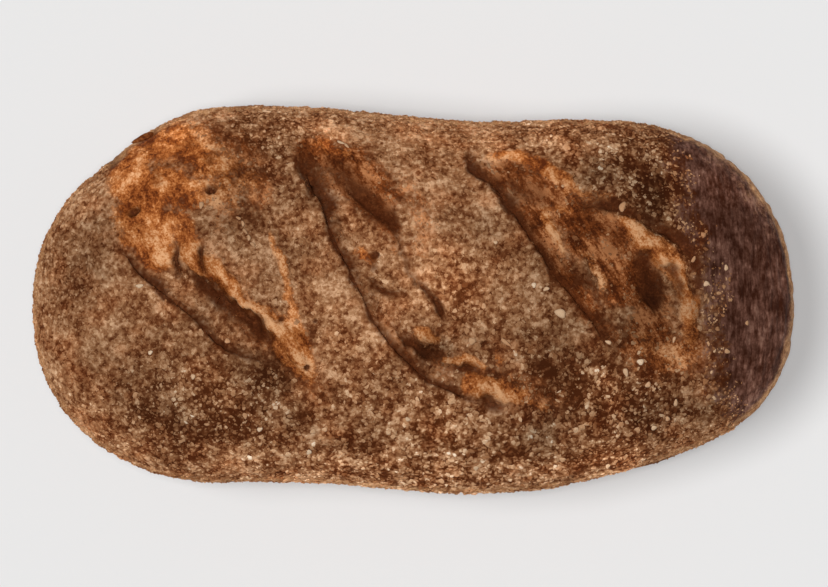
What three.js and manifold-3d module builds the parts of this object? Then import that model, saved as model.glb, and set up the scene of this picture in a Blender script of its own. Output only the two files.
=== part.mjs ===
// A wholemeal tin loaf: a round-ended loaf baked in a plain tin, with a high crown that has spread a
// little over the tin's rim, three slanting scores that tore open in the oven, and a coat of bran flakes.
//
// Millimetres, +Z up. The loaf stands on z = 0 with its length along X, and the origin is under the
// middle of its box. Seen from above, -X is the left end and +Y the far side.

import * as THREE from "three";
import { mergeVertices } from "three/addons/utils/BufferGeometryUtils.js";
import Module from "manifold-3d";

const wasm = await Module();
wasm.setup();

// ---------------------------------------------------------------------------------------------
// Driving dimensions

const LOAF_LENGTH = 280; // over the widest line of the crown
const LOAF_WIDTH = 138; // over the widest line, before its swells
const CROWN_LEVEL = 102.5; // top of the crown before its humps, which bring it to about 104
const WIDEST_LEVEL = 64; // height of the crown's widest line
const CROWN_ARCH = 9; // how far the crown's arch has fallen over the two ends
const CROWN_FULLNESS = 2.25; // 2 is an ellipse in section, more is fuller

const HALF_WIDTH = LOAF_WIDTH / 2;
const SPINE_HALF = LOAF_LENGTH / 2 - HALF_WIDTH; // the straight middle between the round ends

// Swells of the crown's widest line: [bearing in degrees from +X, height, spread in degrees]
const SWELLS = [
  [12, 1.0, 9],
  [39, -1.5, 10],
  [67, -3.5, 28],
  [129, 2.5, 22],
  [153, -4.5, 11],
  [197, 2.5, 14],
  [243, -2.0, 30],
  [281, 3.5, 39],
  [324, -7.0, 13],
  [349, 2.0, 10],
];

// What the tin shaped, from the widest line down: height, how far inside the widest line, and how
// much of the crown's swells is still there. The walls lean in by 7 mm and end in a rounded edge.
const WALL_LEVELS = [
  { z: WIDEST_LEVEL, inset: 0, swell: 1 },
  { z: 60, inset: 0.8, swell: 0.95 },
  { z: 57, inset: 2.6, swell: 0.6 },
  { z: 54.5, inset: 5, swell: 0 },
  { z: 34, inset: 7.8, swell: 0 },
  { z: 10, inset: 12, swell: 0 },
  { z: 4, inset: 14, swell: 0 },
  { z: 1, inset: 17, swell: 0 },
  { z: 0, inset: 21, swell: 0 },
];

// How finely the loaf is faceted
const SPINE_STEPS = 26;
const END_STEPS = 26;
const CROWN_RINGS = 15;

// Cracks along the scores, cut into the crust: [x, y, width, depth] from the far end to the near end
const CRACKS = {
  leftEdge: [
    [-108, 19.5, 0.8, 1],
    [-100, 9, 1.6, 2.5],
    [-91, 2, 1.6, 3],
    [-78.8, -8.2, 1.6, 3],
    [-70, -17.5, 1.8, 2.5],
    [-62, -20.5, 1.4, 2],
    [-50, -25, 0.8, 1],
  ],
  leftTrench: [
    [-80.5, 8, 1, 1],
    [-76, 2.5, 4, 3.5],
    [-69, -3, 6, 5],
    [-61, -8.2, 6, 5],
    [-54, -14, 4, 3.5],
    [-49, -18.5, 1, 1],
  ],
  middleEdge: [
    [-41, 54, 2, 1],
    [-37.3, 45, 6.5, 4],
    [-33, 35, 6, 4.5],
    [-28.6, 23, 3, 4],
    [-22, 9, 2, 3],
    [-12.8, -10, 1.6, 3],
    [-3.6, -21.2, 2, 3],
    [6.3, -29.8, 2.2, 2.5],
    [18.6, -36, 1.8, 2],
    [28, -38.4, 0.8, 1],
  ],
  middleInner: [
    [-23, 40, 1.5, 1],
    [-17, 34.5, 5, 3],
    [-9.5, 29, 5, 3],
    [-6, 22, 2.2, 2.2],
    [-0.6, 10, 1.6, 2],
    [4.4, 2.3, 1.6, 2.2],
    [9.5, -3.2, 2.6, 2.8],
    [12.5, -7.5, 1, 1],
  ],
  rightEdge: [
    [20.8, 54, 1, 1],
    [23.4, 47.5, 3, 2.5],
    [29.5, 42.8, 3, 3],
    [35.5, 36, 5, 4],
    [42.5, 24, 3, 3.5],
    [50.1, 11.8, 2.4, 3],
    [58.7, 1, 2.8, 3],
    [64.5, -6.5, 3, 3],
    [70.5, -15.8, 1, 1],
  ],
  rightArc: [
    [60.5, 33.4, 0.8, 0.8],
    [66.7, 34.3, 2, 2],
    [73, 32.8, 2.4, 2.2],
    [79, 29.6, 0.8, 0.8],
  ],
};

// Torn ridges of the bellies that stand up from the crust: [x, y, half width, height]
const RIDGES = {
  leftBulge: [
    [-93, 20, 2, 0.8],
    [-91.3, 14, 3.6, 2.2],
    [-89, 9.5, 1.5, 0.6],
  ],
  leftSecondBulge: [
    [-83.5, 21, 2, 0.8],
    [-82, 15, 3.2, 2],
    [-78.5, 10, 1.5, 0.6],
  ],
  leftRidge: [
    [-74.5, 13, 1.5, 0.8],
    [-69, 7, 2.8, 2.2],
    [-62, -0.3, 2.4, 2],
    [-54.8, -6, 2.8, 2.4],
    [-48, -13.5, 4.5, 2.8],
    [-41.5, -20.5, 3.6, 2.2],
    [-37, -26, 1.2, 0.6],
  ],
  leftStreak: [
    [-51, 23.5, 1, 0.5],
    [-47.6, 12, 2, 1.1],
    [-44.9, 0.4, 1.8, 1],
    [-41.5, -8, 1.2, 0.6],
  ],
  middleBulge: [
    [0.5, -10.5, 1.5, 0.8],
    [4.8, -13.5, 3.4, 2.2],
    [9.5, -16.8, 1.5, 0.8],
  ],
  middleRidge: [
    [11.5, -22, 1, 0.6],
    [18.5, -23, 2.2, 1.8],
    [26, -23.6, 1, 0.6],
  ],
  middleNearBulge: [
    [21.5, -30.5, 1.8, 1],
    [29, -32.6, 4.2, 2.6],
    [37, -34, 1.8, 1],
  ],
  rightInner: [
    [48.8, 29, 1.8, 1],
    [52.3, 24.5, 3, 2],
    [55.4, 19, 1.6, 0.8],
  ],
  rightStreak: [
    [61.5, 18.5, 1, 0.6],
    [66.4, 12, 2, 1.4],
    [69.4, 4.5, 2, 1.4],
    [70.2, -1.5, 1, 0.5],
  ],
  rightRidge: [
    [73.5, 29, 1.4, 0.8],
    [80.3, 25.4, 3, 2.2],
    [92, 17.1, 3.6, 2.8],
    [98.6, 10.6, 3.2, 2.6],
    [102.6, 1, 3.2, 2.4],
    [102.6, -7, 2.8, 1.8],
    [101, -14, 1.4, 0.7],
  ],
};

// Broad humps and hollows of the crown: [x, y, reach, height]
const HUMPS = [
  [-93, 42, 20, 2.5],
  [-68, 30, 16, 1.5],
  [-66, -12, 13, -1.5],
  [-29, 45, 14, -2],
  [-8, 8, 15, 1.5],
  [22, -20, 15, -1.5],
  [46, 36, 15, -1.5],
  [78, 12, 18, 1.5],
  [85, 4, 9, -2],
  [-15, -40, 30, 1.2],
  [12, 30, 22, 1.5],
];

// On the near left of each score's main crack the crust has lifted into a lip, and on its far right
// the torn belly lies lower
const SCORES = ["leftEdge", "middleEdge", "rightEdge"];
const LIP = { height: 1.6, spread: 5, fall: 4 };
const BELLY = { depth: 2.6, away: 6, spread: 7, ease: 2 };
const RELIEF_FADE = 6; // power of the fade to a clean widest line: a high one fades late

// The wedge that opens a crack stands out of the crust by its rise, and widens as it goes
const WEDGE = { rise: 2.5, flare: 0.4 };
// A ridge is a bead sunk into the crust, with a root that reaches deeper
const BEAD = { sink: 0.5, root: 1.6 };

// Distance between two sections of a crack or a ridge, and between two measured points of a line
const CRACK_PACE = 7;
const RIDGE_PACE = 6;
const SCORE_PACE = 2.5;
const KEEP_OFF_PACE = 3;

// Air holes: [x, y, half length, half width, depth]
const AIR_HOLES = [
  [-73.5, 40, 2.1, 1.6, 2.5],
  [-102, 32, 2.7, 1.3, 1.8],
  [-14, 15.8, 2, 1.4, 1.8],
  [26.3, -16.8, 1.9, 1.2, 1.8],
  [49.8, -35.3, 1.6, 1.3, 1.6],
];
const AIR_HOLE_TURN = 20; // degrees from +X
const AIR_HOLE_LIFT = 0.2; // of an air hole's middle over the crust

const SCRAP = { from: [-103.4, 57.2], to: [-96.2, 61.4], halfWidth: 1.5, height: 1.6 }; // lifted crust
const BIG_GRAIN = { x: 54.2, y: -5.7, halfLength: 3, halfWidth: 1.8, halfThickness: 1.2, turn: -25, lift: 0.3 };

// The largest bran flakes
const FLAKE_COUNT = 90;
const FLAKE_HALF_LENGTH = [1.6, 2.5];
const FLAKE_ROUNDNESS = [0.55, 0.8]; // width for each mm of length
const FLAKE_HALF_THICKNESS = 0.8;
const FLAKE_LIFT = 0.15; // of a flake's middle over the crust
const FLAKE_CLEARANCE = 5; // from a crack or a ridge
const FLAKE_SPACING = 7; // from the next large flake
const FLAKE_REACH = 0.93; // share of the way out from the spine to the widest line
const BARE_END = 108; // past this X the crust is bare
const SEED = 20;

const CRUST = new THREE.MeshStandardMaterial({ color: 0x6e4630, roughness: 0.9, metalness: 0 });

// ---------------------------------------------------------------------------------------------
// The crown's form

/** How far the crown's widest line swells out at a bearing in degrees. */
function swellAt(bearing) {
  let total = 0;
  for (const [at, height, spread] of SWELLS) {
    const turn = THREE.MathUtils.euclideanModulo(bearing - at + 180, 360) - 180;
    total += height * Math.exp(-((turn / spread) ** 2));
  }
  return total;
}

/** The spine point nearest to a plan point, the way out from it, and the widest line's distance that way. */
function planFrame(x, y) {
  const spineX = THREE.MathUtils.clamp(x, -SPINE_HALF, SPINE_HALF);
  const away = new THREE.Vector2(x - spineX, y);
  const distance = away.length();
  const out = distance > 0 ? away.divideScalar(distance) : new THREE.Vector2(0, 1);
  const bearing = THREE.MathUtils.radToDeg(Math.atan2(out.y * HALF_WIDTH, spineX + out.x * HALF_WIDTH));
  return { spineX, out, distance, reach: HALF_WIDTH + swellAt(bearing) };
}

/** Points along a smooth line through hand-set places, with their two sizes, about `pace` mm apart. */
function walk(places, pace) {
  const curve = new THREE.CatmullRomCurve3(places.map(([x, y]) => new THREE.Vector3(x, y, 0)));
  const steps = Math.max(4, Math.round(curve.getLength() / pace));
  const points = [];
  for (let step = 0; step <= steps; step++) {
    const t = step / steps;
    const at = Math.min(t * (places.length - 1), places.length - 1 - 1e-9);
    const [before, after, mix] = [places[Math.floor(at)], places[Math.floor(at) + 1], at % 1];
    const size = (which) => THREE.MathUtils.lerp(before[which], after[which], mix);
    points.push({ t, at: curve.getPoint(t), along: curve.getTangent(t), first: size(2), second: size(3) });
  }
  return points;
}

const SCORE_LINES = SCORES.map((name) => walk(CRACKS[name], SCORE_PACE));

/** How the crust lies beside a score: the lip on its near left, the sunken belly on its far right. */
function scoreRelief(line, x, y) {
  let nearest = line[0];
  const gap = ({ at }) => Math.hypot(x - at.x, y - at.y);
  for (const step of line) {
    if (gap(step) < gap(nearest)) nearest = step;
  }
  const { at, along, t } = nearest;
  const side = Math.sign(along.x * (y - at.y) - along.y * (x - at.x)) * gap(nearest);
  const fade = Math.sqrt(Math.sin(Math.PI * t));
  const lip = LIP.height * Math.exp(-((side / (side < 0 ? LIP.spread : LIP.fall)) ** 2));
  const belly = BELLY.depth * Math.exp(-(((side - BELLY.away) / BELLY.spread) ** 2));
  return fade * (lip - belly * THREE.MathUtils.clamp(side / BELLY.ease, 0, 1));
}

/** Height of the crown over a plan point, with its humps and hollows. */
function crownHeight(x, y) {
  const { distance, reach } = planFrame(x, y);
  const share = Math.min(distance / reach, 1);
  const rise = CROWN_LEVEL - WIDEST_LEVEL - CROWN_ARCH * (x / (LOAF_LENGTH / 2)) ** 2;
  const dome = (1 - share ** CROWN_FULLNESS) ** (1 / CROWN_FULLNESS);
  let relief = SCORE_LINES.reduce((sum, line) => sum + scoreRelief(line, x, y), 0);
  for (const [humpX, humpY, humpReach, height] of HUMPS) {
    relief += height * Math.exp(-(((x - humpX) ** 2 + (y - humpY) ** 2) / humpReach ** 2));
  }
  return WIDEST_LEVEL + rise * dome + relief * (1 - share ** RELIEF_FADE);
}

/** A point on the crown over a plan point, with the way out of the crust there. */
function crownPoint(x, y) {
  const step = 0.5;
  const slopeX = (crownHeight(x + step, y) - crownHeight(x - step, y)) / (2 * step);
  const slopeY = (crownHeight(x, y + step) - crownHeight(x, y - step)) / (2 * step);
  return {
    place: new THREE.Vector3(x, y, crownHeight(x, y)),
    normal: new THREE.Vector3(-slopeX, -slopeY, 1).normalize(),
  };
}

// ---------------------------------------------------------------------------------------------
// Closed meshes and solids

/** A closed geometry from rings of equally many points, each end closed by a fan. */
function loft(rings) {
  const points = rings.flat();
  const count = rings[0].length;
  const index = [];
  for (let ring = 0; ring + 1 < rings.length; ring++) {
    for (let side = 0; side < count; side++) {
      const next = (side + 1) % count;
      const [a, b] = [ring * count + side, ring * count + next];
      index.push(a, b, b + count, a, b + count, a + count);
    }
  }
  const last = (rings.length - 1) * count;
  for (let side = 1; side + 1 < count; side++) {
    index.push(0, side + 1, side, last, last + side, last + side + 1);
  }
  return closedGeometry(points, index);
}

/** A geometry whose equal points are one and whose flat-out triangles are gone, facing outwards. */
function closedGeometry(points, index) {
  const rough = new THREE.BufferGeometry().setFromPoints(points);
  rough.setIndex(index);
  const merged = mergeVertices(rough, 1e-4);
  const place = merged.getAttribute("position");
  const corner = [new THREE.Vector3(), new THREE.Vector3(), new THREE.Vector3()];
  const kept = [];
  let volume = 0;
  for (let i = 0; i < merged.index.count; i += 3) {
    const triangle = [0, 1, 2].map((side) => merged.index.getX(i + side));
    if (new Set(triangle).size < 3) continue;
    triangle.forEach((vertex, side) => corner[side].fromBufferAttribute(place, vertex));
    volume += corner[0].dot(corner[1].clone().cross(corner[2]));
    kept.push(triangle);
  }
  const outward = volume > 0 ? kept : kept.map(([a, b, c]) => [a, c, b]);
  merged.setIndex(outward.flat());
  return merged;
}

function toSolid(geometry) {
  return new wasm.Manifold(
    new wasm.Mesh({
      numProp: 3,
      vertProperties: new Float32Array(geometry.getAttribute("position").array),
      triVerts: new Uint32Array(geometry.index.array),
    }),
  );
}

function toGeometry(solid) {
  const mesh = solid.getMesh();
  const geometry = new THREE.BufferGeometry();
  geometry.setAttribute("position", new THREE.Float32BufferAttribute(mesh.vertProperties, 3));
  geometry.setIndex(new THREE.Uint32BufferAttribute(mesh.triVerts, 1));
  geometry.computeVertexNormals();
  return geometry;
}

/** The local axes of a section across a line on the crown. */
function sectionFrame({ at, along }) {
  const { place, normal } = crownPoint(at.x, at.y);
  const across = new THREE.Vector3().crossVectors(along, normal).normalize();
  return (side, up) => place.clone().addScaledVector(across, side).addScaledVector(normal, up);
}

// ---------------------------------------------------------------------------------------------
// The pieces of the loaf

/** Plan points round the widest line: its bearing is all that matters, so they lie on the plain oval. */
function outlineDirections() {
  const directions = [];
  const addEnd = (spineX, start) => {
    for (let step = 0; step < END_STEPS; step++) {
      const angle = start + (Math.PI * step) / END_STEPS;
      directions.push({ spineX, out: new THREE.Vector2(Math.cos(angle), Math.sin(angle)) });
    }
  };
  const addSide = (from, to, outY) => {
    for (let step = 0; step < SPINE_STEPS; step++) {
      const spineX = THREE.MathUtils.lerp(from, to, step / SPINE_STEPS);
      directions.push({ spineX, out: new THREE.Vector2(0, outY) });
    }
  };
  addEnd(SPINE_HALF, -Math.PI / 2);
  addSide(SPINE_HALF, -SPINE_HALF, 1);
  addEnd(-SPINE_HALF, Math.PI / 2);
  addSide(-SPINE_HALF, SPINE_HALF, -1);
  return directions;
}

/** The whole loaf without its cracks, ridges and flakes. */
function plainLoaf() {
  const directions = outlineDirections();
  const rings = [];
  const addRing = (distance, height) => {
    rings.push(
      directions.map(({ spineX, out }) => {
        const plainX = spineX + out.x * HALF_WIDTH;
        const reach = planFrame(plainX, out.y * HALF_WIDTH).reach;
        const far = distance(reach);
        const [x, y] = [spineX + out.x * far, out.y * far];
        return new THREE.Vector3(x, y, height(x, y));
      }),
    );
  };
  for (let ring = 0; ring < CROWN_RINGS; ring++) {
    const share = Math.sin((ring / CROWN_RINGS) * (Math.PI / 2));
    addRing((reach) => share * reach, crownHeight);
  }
  for (const { z, inset, swell } of WALL_LEVELS) {
    addRing((reach) => HALF_WIDTH - inset + swell * (reach - HALF_WIDTH), () => z);
  }
  addRing(() => 0, () => 0);
  return loft(rings);
}

/** What opens a crack: a wedge along its line, deepest under the lip. */
function crackCutter(places) {
  const { rise, flare } = WEDGE;
  return loft(
    walk(places, CRACK_PACE).map((step) => {
      const spot = sectionFrame(step);
      const [half, depth] = [step.first / 2, step.second];
      const mouth = half * (1 + (flare * rise) / depth);
      return [spot(mouth, rise), spot(-mouth, rise), spot(0, -depth), spot(0.6 * half, -depth)];
    }),
  );
}

/** A torn ridge: a rounded bead along its line, sunk into the crust. */
function ridgeBead(places) {
  const { sink, root } = BEAD;
  return loft(
    walk(places, RIDGE_PACE).map((step) => {
      const spot = sectionFrame(step);
      const arch = [0, 45, 90, 135, 180].map((angle) => {
        const turn = THREE.MathUtils.degToRad(angle);
        return spot(step.first * Math.cos(turn), (step.second + sink) * Math.sin(turn) - sink);
      });
      return [...arch, spot(0, -sink - root)];
    }),
  );
}

/** A small rounded lump on the crown, or the hollow that an air hole leaves. */
function lump(x, y, halfSizes, turnDegrees, lift) {
  const { place, normal } = crownPoint(x, y);
  const geometry = new THREE.IcosahedronGeometry(1, 0);
  geometry.scale(...halfSizes);
  geometry.rotateZ(THREE.MathUtils.degToRad(turnDegrees));
  const tilt = new THREE.Quaternion().setFromUnitVectors(new THREE.Vector3(0, 0, 1), normal);
  geometry.applyQuaternion(tilt);
  const centre = place.addScaledVector(normal, lift);
  geometry.translate(centre.x, centre.y, centre.z);
  geometry.deleteAttribute("normal");
  geometry.deleteAttribute("uv");
  return mergeVertices(geometry, 1e-4);
}

/** Numbers from 0 to 1 that are the same on every run. */
function seededRandom(seed) {
  let state = seed;
  return () => {
    state = (state + 0x6d2b79f5) | 0;
    let mixed = Math.imul(state ^ (state >>> 15), state | 1);
    mixed ^= mixed + Math.imul(mixed ^ (mixed >>> 7), mixed | 61);
    return ((mixed ^ (mixed >>> 14)) >>> 0) / 4294967296;
  };
}

/** Where the largest flakes lie: spread over the crown, off the cracks, the bellies and the bare end. */
function flakePlaces() {
  const random = seededRandom(SEED);
  const taken = [];
  const lines = [...Object.values(CRACKS), ...Object.values(RIDGES)].flatMap((line) => walk(line, KEEP_OFF_PACE));
  const holes = AIR_HOLES.map(([x, y]) => ({ at: { x, y } }));
  const keepOff = [...lines, ...holes, { at: BIG_GRAIN }];
  const tooNear = (x, y, list, limit) => list.some(({ at }) => Math.hypot(at.x - x, at.y - y) < limit);
  while (taken.length < FLAKE_COUNT) {
    const x = (random() - 0.5) * LOAF_LENGTH;
    const y = (random() - 0.5) * LOAF_WIDTH;
    const { distance, reach } = planFrame(x, y);
    const offCrown = distance > FLAKE_REACH * reach || x > BARE_END;
    if (offCrown || tooNear(x, y, keepOff, FLAKE_CLEARANCE) || tooNear(x, y, taken, FLAKE_SPACING)) continue;
    taken.push({ at: { x, y }, size: random(), width: random(), turn: random() * 180 });
  }
  return taken;
}

function branFlakes() {
  return flakePlaces().map(({ at, size, width, turn }) => {
    const halfLength = THREE.MathUtils.lerp(...FLAKE_HALF_LENGTH, size);
    const halfWidth = halfLength * THREE.MathUtils.lerp(...FLAKE_ROUNDNESS, width);
    return lump(at.x, at.y, [halfLength, halfWidth, FLAKE_HALF_THICKNESS], turn, FLAKE_LIFT);
  });
}

/** The scrap of crust that lifted at the far left edge. */
function liftedScrap() {
  const { from, to, halfWidth, height } = SCRAP;
  const middle = [(from[0] + to[0]) / 2, (from[1] + to[1]) / 2];
  return ridgeBead([
    [...from, 0.5 * halfWidth, 0.5 * height],
    [...middle, halfWidth, height],
    [...to, 0.3 * halfWidth, 0.2 * height],
  ]);
}

function bigGrain() {
  const { x, y, halfLength, halfWidth, halfThickness, turn, lift } = BIG_GRAIN;
  return lump(x, y, [halfLength, halfWidth, halfThickness], turn, lift);
}

function buildLoaf() {
  const added = [...Object.values(RIDGES).map(ridgeBead), ...branFlakes(), bigGrain(), liftedScrap()];
  const removed = [
    ...Object.values(CRACKS).map(crackCutter),
    ...AIR_HOLES.map(([x, y, ...halfSizes]) => lump(x, y, halfSizes, AIR_HOLE_TURN, AIR_HOLE_LIFT)),
  ];
  let solid = toSolid(plainLoaf());
  for (const piece of added) solid = solid.add(toSolid(piece));
  for (const piece of removed) solid = solid.subtract(toSolid(piece));
  const geometry = toGeometry(solid);
  geometry.computeBoundingBox();
  const middle = geometry.boundingBox.getCenter(new THREE.Vector3());
  geometry.translate(-middle.x, -middle.y, 0);
  return geometry;
}

const loaf = new THREE.Mesh(buildLoaf(), CRUST);
loaf.name = "loaf";

const group = new THREE.Group();
group.add(loaf);

export default group;
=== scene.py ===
# %% [markdown]
# # A wholemeal tin loaf
# This script dresses one solid, the loaf that the construction model holds, with the surface of real
# bread: a fine crust with its cracks and torn ridges, and thousands of bran flakes lying on it. The
# solid already has the right size and place, so nothing here is moved to fit. Each step below says what
# the real thing is, how it could be made, and why it is made this way.

import math

import bpy
import numpy as np
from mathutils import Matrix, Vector


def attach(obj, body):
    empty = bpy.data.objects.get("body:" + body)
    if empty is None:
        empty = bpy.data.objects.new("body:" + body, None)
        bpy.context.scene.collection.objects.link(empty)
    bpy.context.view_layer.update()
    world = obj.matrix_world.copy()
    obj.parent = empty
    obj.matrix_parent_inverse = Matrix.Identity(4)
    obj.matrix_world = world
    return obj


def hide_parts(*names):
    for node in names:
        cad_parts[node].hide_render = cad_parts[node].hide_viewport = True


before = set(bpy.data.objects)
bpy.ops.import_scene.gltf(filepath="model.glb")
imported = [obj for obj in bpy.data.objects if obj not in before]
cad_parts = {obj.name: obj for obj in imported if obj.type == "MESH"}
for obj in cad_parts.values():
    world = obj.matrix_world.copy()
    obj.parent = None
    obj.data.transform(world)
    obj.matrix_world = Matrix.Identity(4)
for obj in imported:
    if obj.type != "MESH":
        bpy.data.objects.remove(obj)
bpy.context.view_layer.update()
MM = 0.001

# %% [markdown]
# ## The camera
# The view is straight down from far above, so that the crown hides the walls. A long lens from three
# metres keeps the perspective weak. The scale is set at the level of the crown's widest line, where the
# picture's width covers 306 mm of the loaf.

# %% Camera
WIDEST_LEVEL = 64.0
VIEW_WIDTH = 306.3
VIEW_CENTRE = (0.4, 2.2)
CAMERA_RISE = 3000.0
SENSOR = 36.0
FAR_CLIP = 20_000.0
scene = bpy.context.scene


def put(name, data):
    """A new object in the scene for a camera, a light or a mesh."""
    made = bpy.data.objects.new(name, data)
    scene.collection.objects.link(made)
    return made


lens_data = bpy.data.cameras.new("overhead_camera")
lens_data.sensor_width = SENSOR
lens_data.lens = SENSOR * CAMERA_RISE / VIEW_WIDTH
lens_data.clip_end = FAR_CLIP * MM
camera = put("overhead_camera", lens_data)
camera.location = Vector((*VIEW_CENTRE, WIDEST_LEVEL + CAMERA_RISE)) * MM
scene.camera = camera
print("lens, mm:", round(lens_data.lens, 1))

# %% [markdown]
# ## Expressions that build nodes
# A material and a geometry tree are both graphs of nodes. Writing each node and link by hand is long and
# hard to read, so two small classes do it. `Link` wraps one output and overloads the sums, so that
# `1 - mask * 0.5` adds its Math nodes by itself. `Nodes.add` makes any other node from its type, its
# settings and the values or links of its inputs.

# %% Node helpers
# The way the scores run, seen from above
SCORE_WAY = (0.55, -0.835)


class Link:
    """One output of a node. A sum on it adds a Math node and gives that node's output."""

    def __init__(self, nodes, socket):
        self.nodes = nodes
        self.socket = socket

    def sum(self, operation, first, second):
        return self.nodes.add("ShaderNodeMath", {"operation": operation}, {0: first, 1: second})

    def __add__(self, other):
        return self.sum("ADD", self, other)

    def __radd__(self, other):
        return self.sum("ADD", other, self)

    def __sub__(self, other):
        return self.sum("SUBTRACT", self, other)

    def __rsub__(self, other):
        return self.sum("SUBTRACT", other, self)

    def __mul__(self, other):
        return self.sum("MULTIPLY", self, other)

    def __rmul__(self, other):
        return self.sum("MULTIPLY", other, self)


class Nodes:
    """A node tree that is filled by expressions. Its sizes are in millimetres, the file's in metres."""

    def __init__(self, tree):
        self.tree = tree
        self.tree.nodes.clear()

    def add(self, kind, settings=None, values=None, out=0):
        """One of a new node's outputs, or the node itself where it has none."""
        node = self.tree.nodes.new(kind)
        for name, value in (settings or {}).items():
            if name == "stops":
                self.set_stops(node.color_ramp, value)
            else:
                setattr(node, name, value)
        for name, value in (values or {}).items():
            if isinstance(value, Link):
                self.tree.links.new(value.socket, node.inputs[name])
            else:
                node.inputs[name].default_value = value
        return Link(self, node.outputs[out]) if len(node.outputs) else node

    def set_stops(self, ramp, stops):
        while len(ramp.elements) < len(stops):
            ramp.elements.new(0.5)
        for element, (position, colour) in zip(ramp.elements, stops):
            element.position = position
            element.color = colour

    def other(self, link, out):
        """Another output of the node that a link comes from."""
        return Link(self, link.socket.node.outputs[out])

    def blend(self, share, first, second):
        """A colour between two colours."""
        return self.add("ShaderNodeMix", {"data_type": "RGBA"}, {0: share, 6: first, 7: second}, out=2)

    def ramp(self, share, stops):
        return self.add("ShaderNodeValToRGB", {"stops": stops}, {0: share})

    def spread(self, value, low, high, to_low=0.0, to_high=1.0):
        """A value taken from one range to another, and kept inside it."""
        return self.add("ShaderNodeMapRange", None, {0: value, 1: low, 2: high, 3: to_low, 4: to_high})

    def vector(self, operation, values, out=0):
        """A sum on vectors or colours, which a Math node would turn grey."""
        return self.add("ShaderNodeVectorMath", {"operation": operation}, values, out)

    def along(self, place, direction):
        """How far a place lies along a direction."""
        return self.vector("DOT_PRODUCT", {0: place, 1: direction}, out=1)

    def scaled(self, vector, factor):
        """A vector or colour times one number."""
        return self.vector("SCALE", {0: vector, 3: factor})

    def times(self, vector, factors):
        """A vector or colour whose three numbers each have a factor of their own."""
        return self.vector("MULTIPLY", {0: vector, 1: factors})

    def noise(self, place, size, detail=2.0, roughness=0.5, out=0):
        """Noise whose blots are about a size; its output 1 is a colour of three such noises."""
        values = {"Vector": place, "Scale": 1 / (size * MM), "Detail": detail, "Roughness": roughness}
        return self.add("ShaderNodeTexNoise", None, values, out)

    def spot(self):
        """The place on the object, in a material."""
        return self.add("ShaderNodeTexCoord", out="Object")

    def mask(self, name):
        """A point attribute, read in a material."""
        return self.add("ShaderNodeAttribute", {"attribute_name": name}, None, out=2)

    def field(self, name):
        """A point attribute, read in a geometry tree."""
        return self.add("GeometryNodeInputNamedAttribute", {"data_type": "FLOAT"}, {"Name": name})

    def bump(self, height, strength, distance):
        values = {"Strength": strength, "Distance": distance * MM, "Height": height}
        return self.add("ShaderNodeBump", None, values)

    def finish(self, values):
        """The shader with these inputs, joined to the material's output."""
        skin = self.add("ShaderNodeBsdfPrincipled", None, values)
        self.add("ShaderNodeOutputMaterial", None, {"Surface": skin})

    def stretched(self, place, length, width):
        """A place seen along a score: patterns on it come out long that way and narrow across it."""
        lengthways = self.along(place, (*SCORE_WAY, 0)) * (width / length)
        across = self.along(place, (-SCORE_WAY[1], SCORE_WAY[0], 0))
        up = self.along(place, (0, 0, 1))
        return self.add("ShaderNodeCombineXYZ", None, {0: lengthways, 1: across, 2: up})


def tint(red, green, blue):
    """A screen colour, 0 to 255, as the linear colour that Blender works in."""
    shares = [v / 255 for v in (red, green, blue)]
    return (*[v / 12.92 if v <= 0.04045 else ((v + 0.055) / 1.055) ** 2.4 for v in shares], 1.0)


def new_material(name):
    """A material with an empty node tree, and its nodes."""
    material = bpy.data.materials.new(name)
    material.use_nodes = True
    return material, Nodes(material.node_tree)


print("a mid crust brown in linear numbers:", [round(v, 3) for v in tint(110, 70, 45)[:3]])

# %% [markdown]
# ## The stage
# A pale board and soft studio light. One very soft sun stands on the left, so that every slope that
# faces left is bright and the right end falls into shade. A second one straight overhead keeps the board
# round the loaf bright, and a pale sky fills the shadows. The three shares add up to a board that is lit
# to just under white.

# %% Floor, sky and light
FLOOR_SIZE = 6.0
SKY_SHARE = 0.1
# [share of the light on the open board, height in degrees, softness in degrees]
SUNS = {"left_sun": (0.44, 74, 18), "top_sun": (0.46, 90, 8)}

scene.view_settings.view_transform = "Standard"
scene.view_settings.look = "None"

sky = bpy.data.worlds.new("studio_sky")
sky.use_nodes = True
sky_nodes = Nodes(sky.node_tree)
glow = sky_nodes.add("ShaderNodeBackground", None, {"Color": (1, 1, 1, 1), "Strength": SKY_SHARE})
sky_nodes.add("ShaderNodeOutputWorld", None, {"Surface": glow})
scene.world = sky

for sun_name, (share, height, softness) in SUNS.items():
    height = math.radians(height)
    sun_data = bpy.data.lights.new(sun_name, "SUN")
    sun_data.energy = share * math.pi / math.sin(height)
    sun_data.angle = math.radians(softness)
    sun_way = Vector((math.cos(height), 0, -math.sin(height)))
    put(sun_name, sun_data).rotation_euler = sun_way.to_track_quat("-Z", "Y").to_euler()

board_paint, board_nodes = new_material("board_paint")
board_nodes.finish({"Base Color": tint(232, 232, 232), "Roughness": 0.8})
board_mesh = bpy.data.meshes.new("board")
corner = FLOOR_SIZE / 2
board_corners = [(x * corner, y * corner, 0) for x, y in ((-1, -1), (1, -1), (1, 1), (-1, 1))]
board_mesh.from_pydata(board_corners, [], [(0, 1, 2, 3)])
board_mesh.materials.append(board_paint)
put("board", board_mesh)

# %% [markdown]
# ## The loaf's form
# A tin loaf has three forms in one. Low down it is the tin: flat base, rounded edge, walls that lean
# out. At the rim the dough was free, so it swelled outwards and up into a crown. And the crown is
# uneven, because dough rises unevenly. The solid is worked out from a few named sizes, and the same
# sizes are repeated here, so that the fine crust lies exactly on it.
#
# The plan is an oval with straight sides. Each plan point is described by the nearest point of a
# straight spine, and by its share of the way out from there to the widest line. The share is what sets
# the height.

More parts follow.
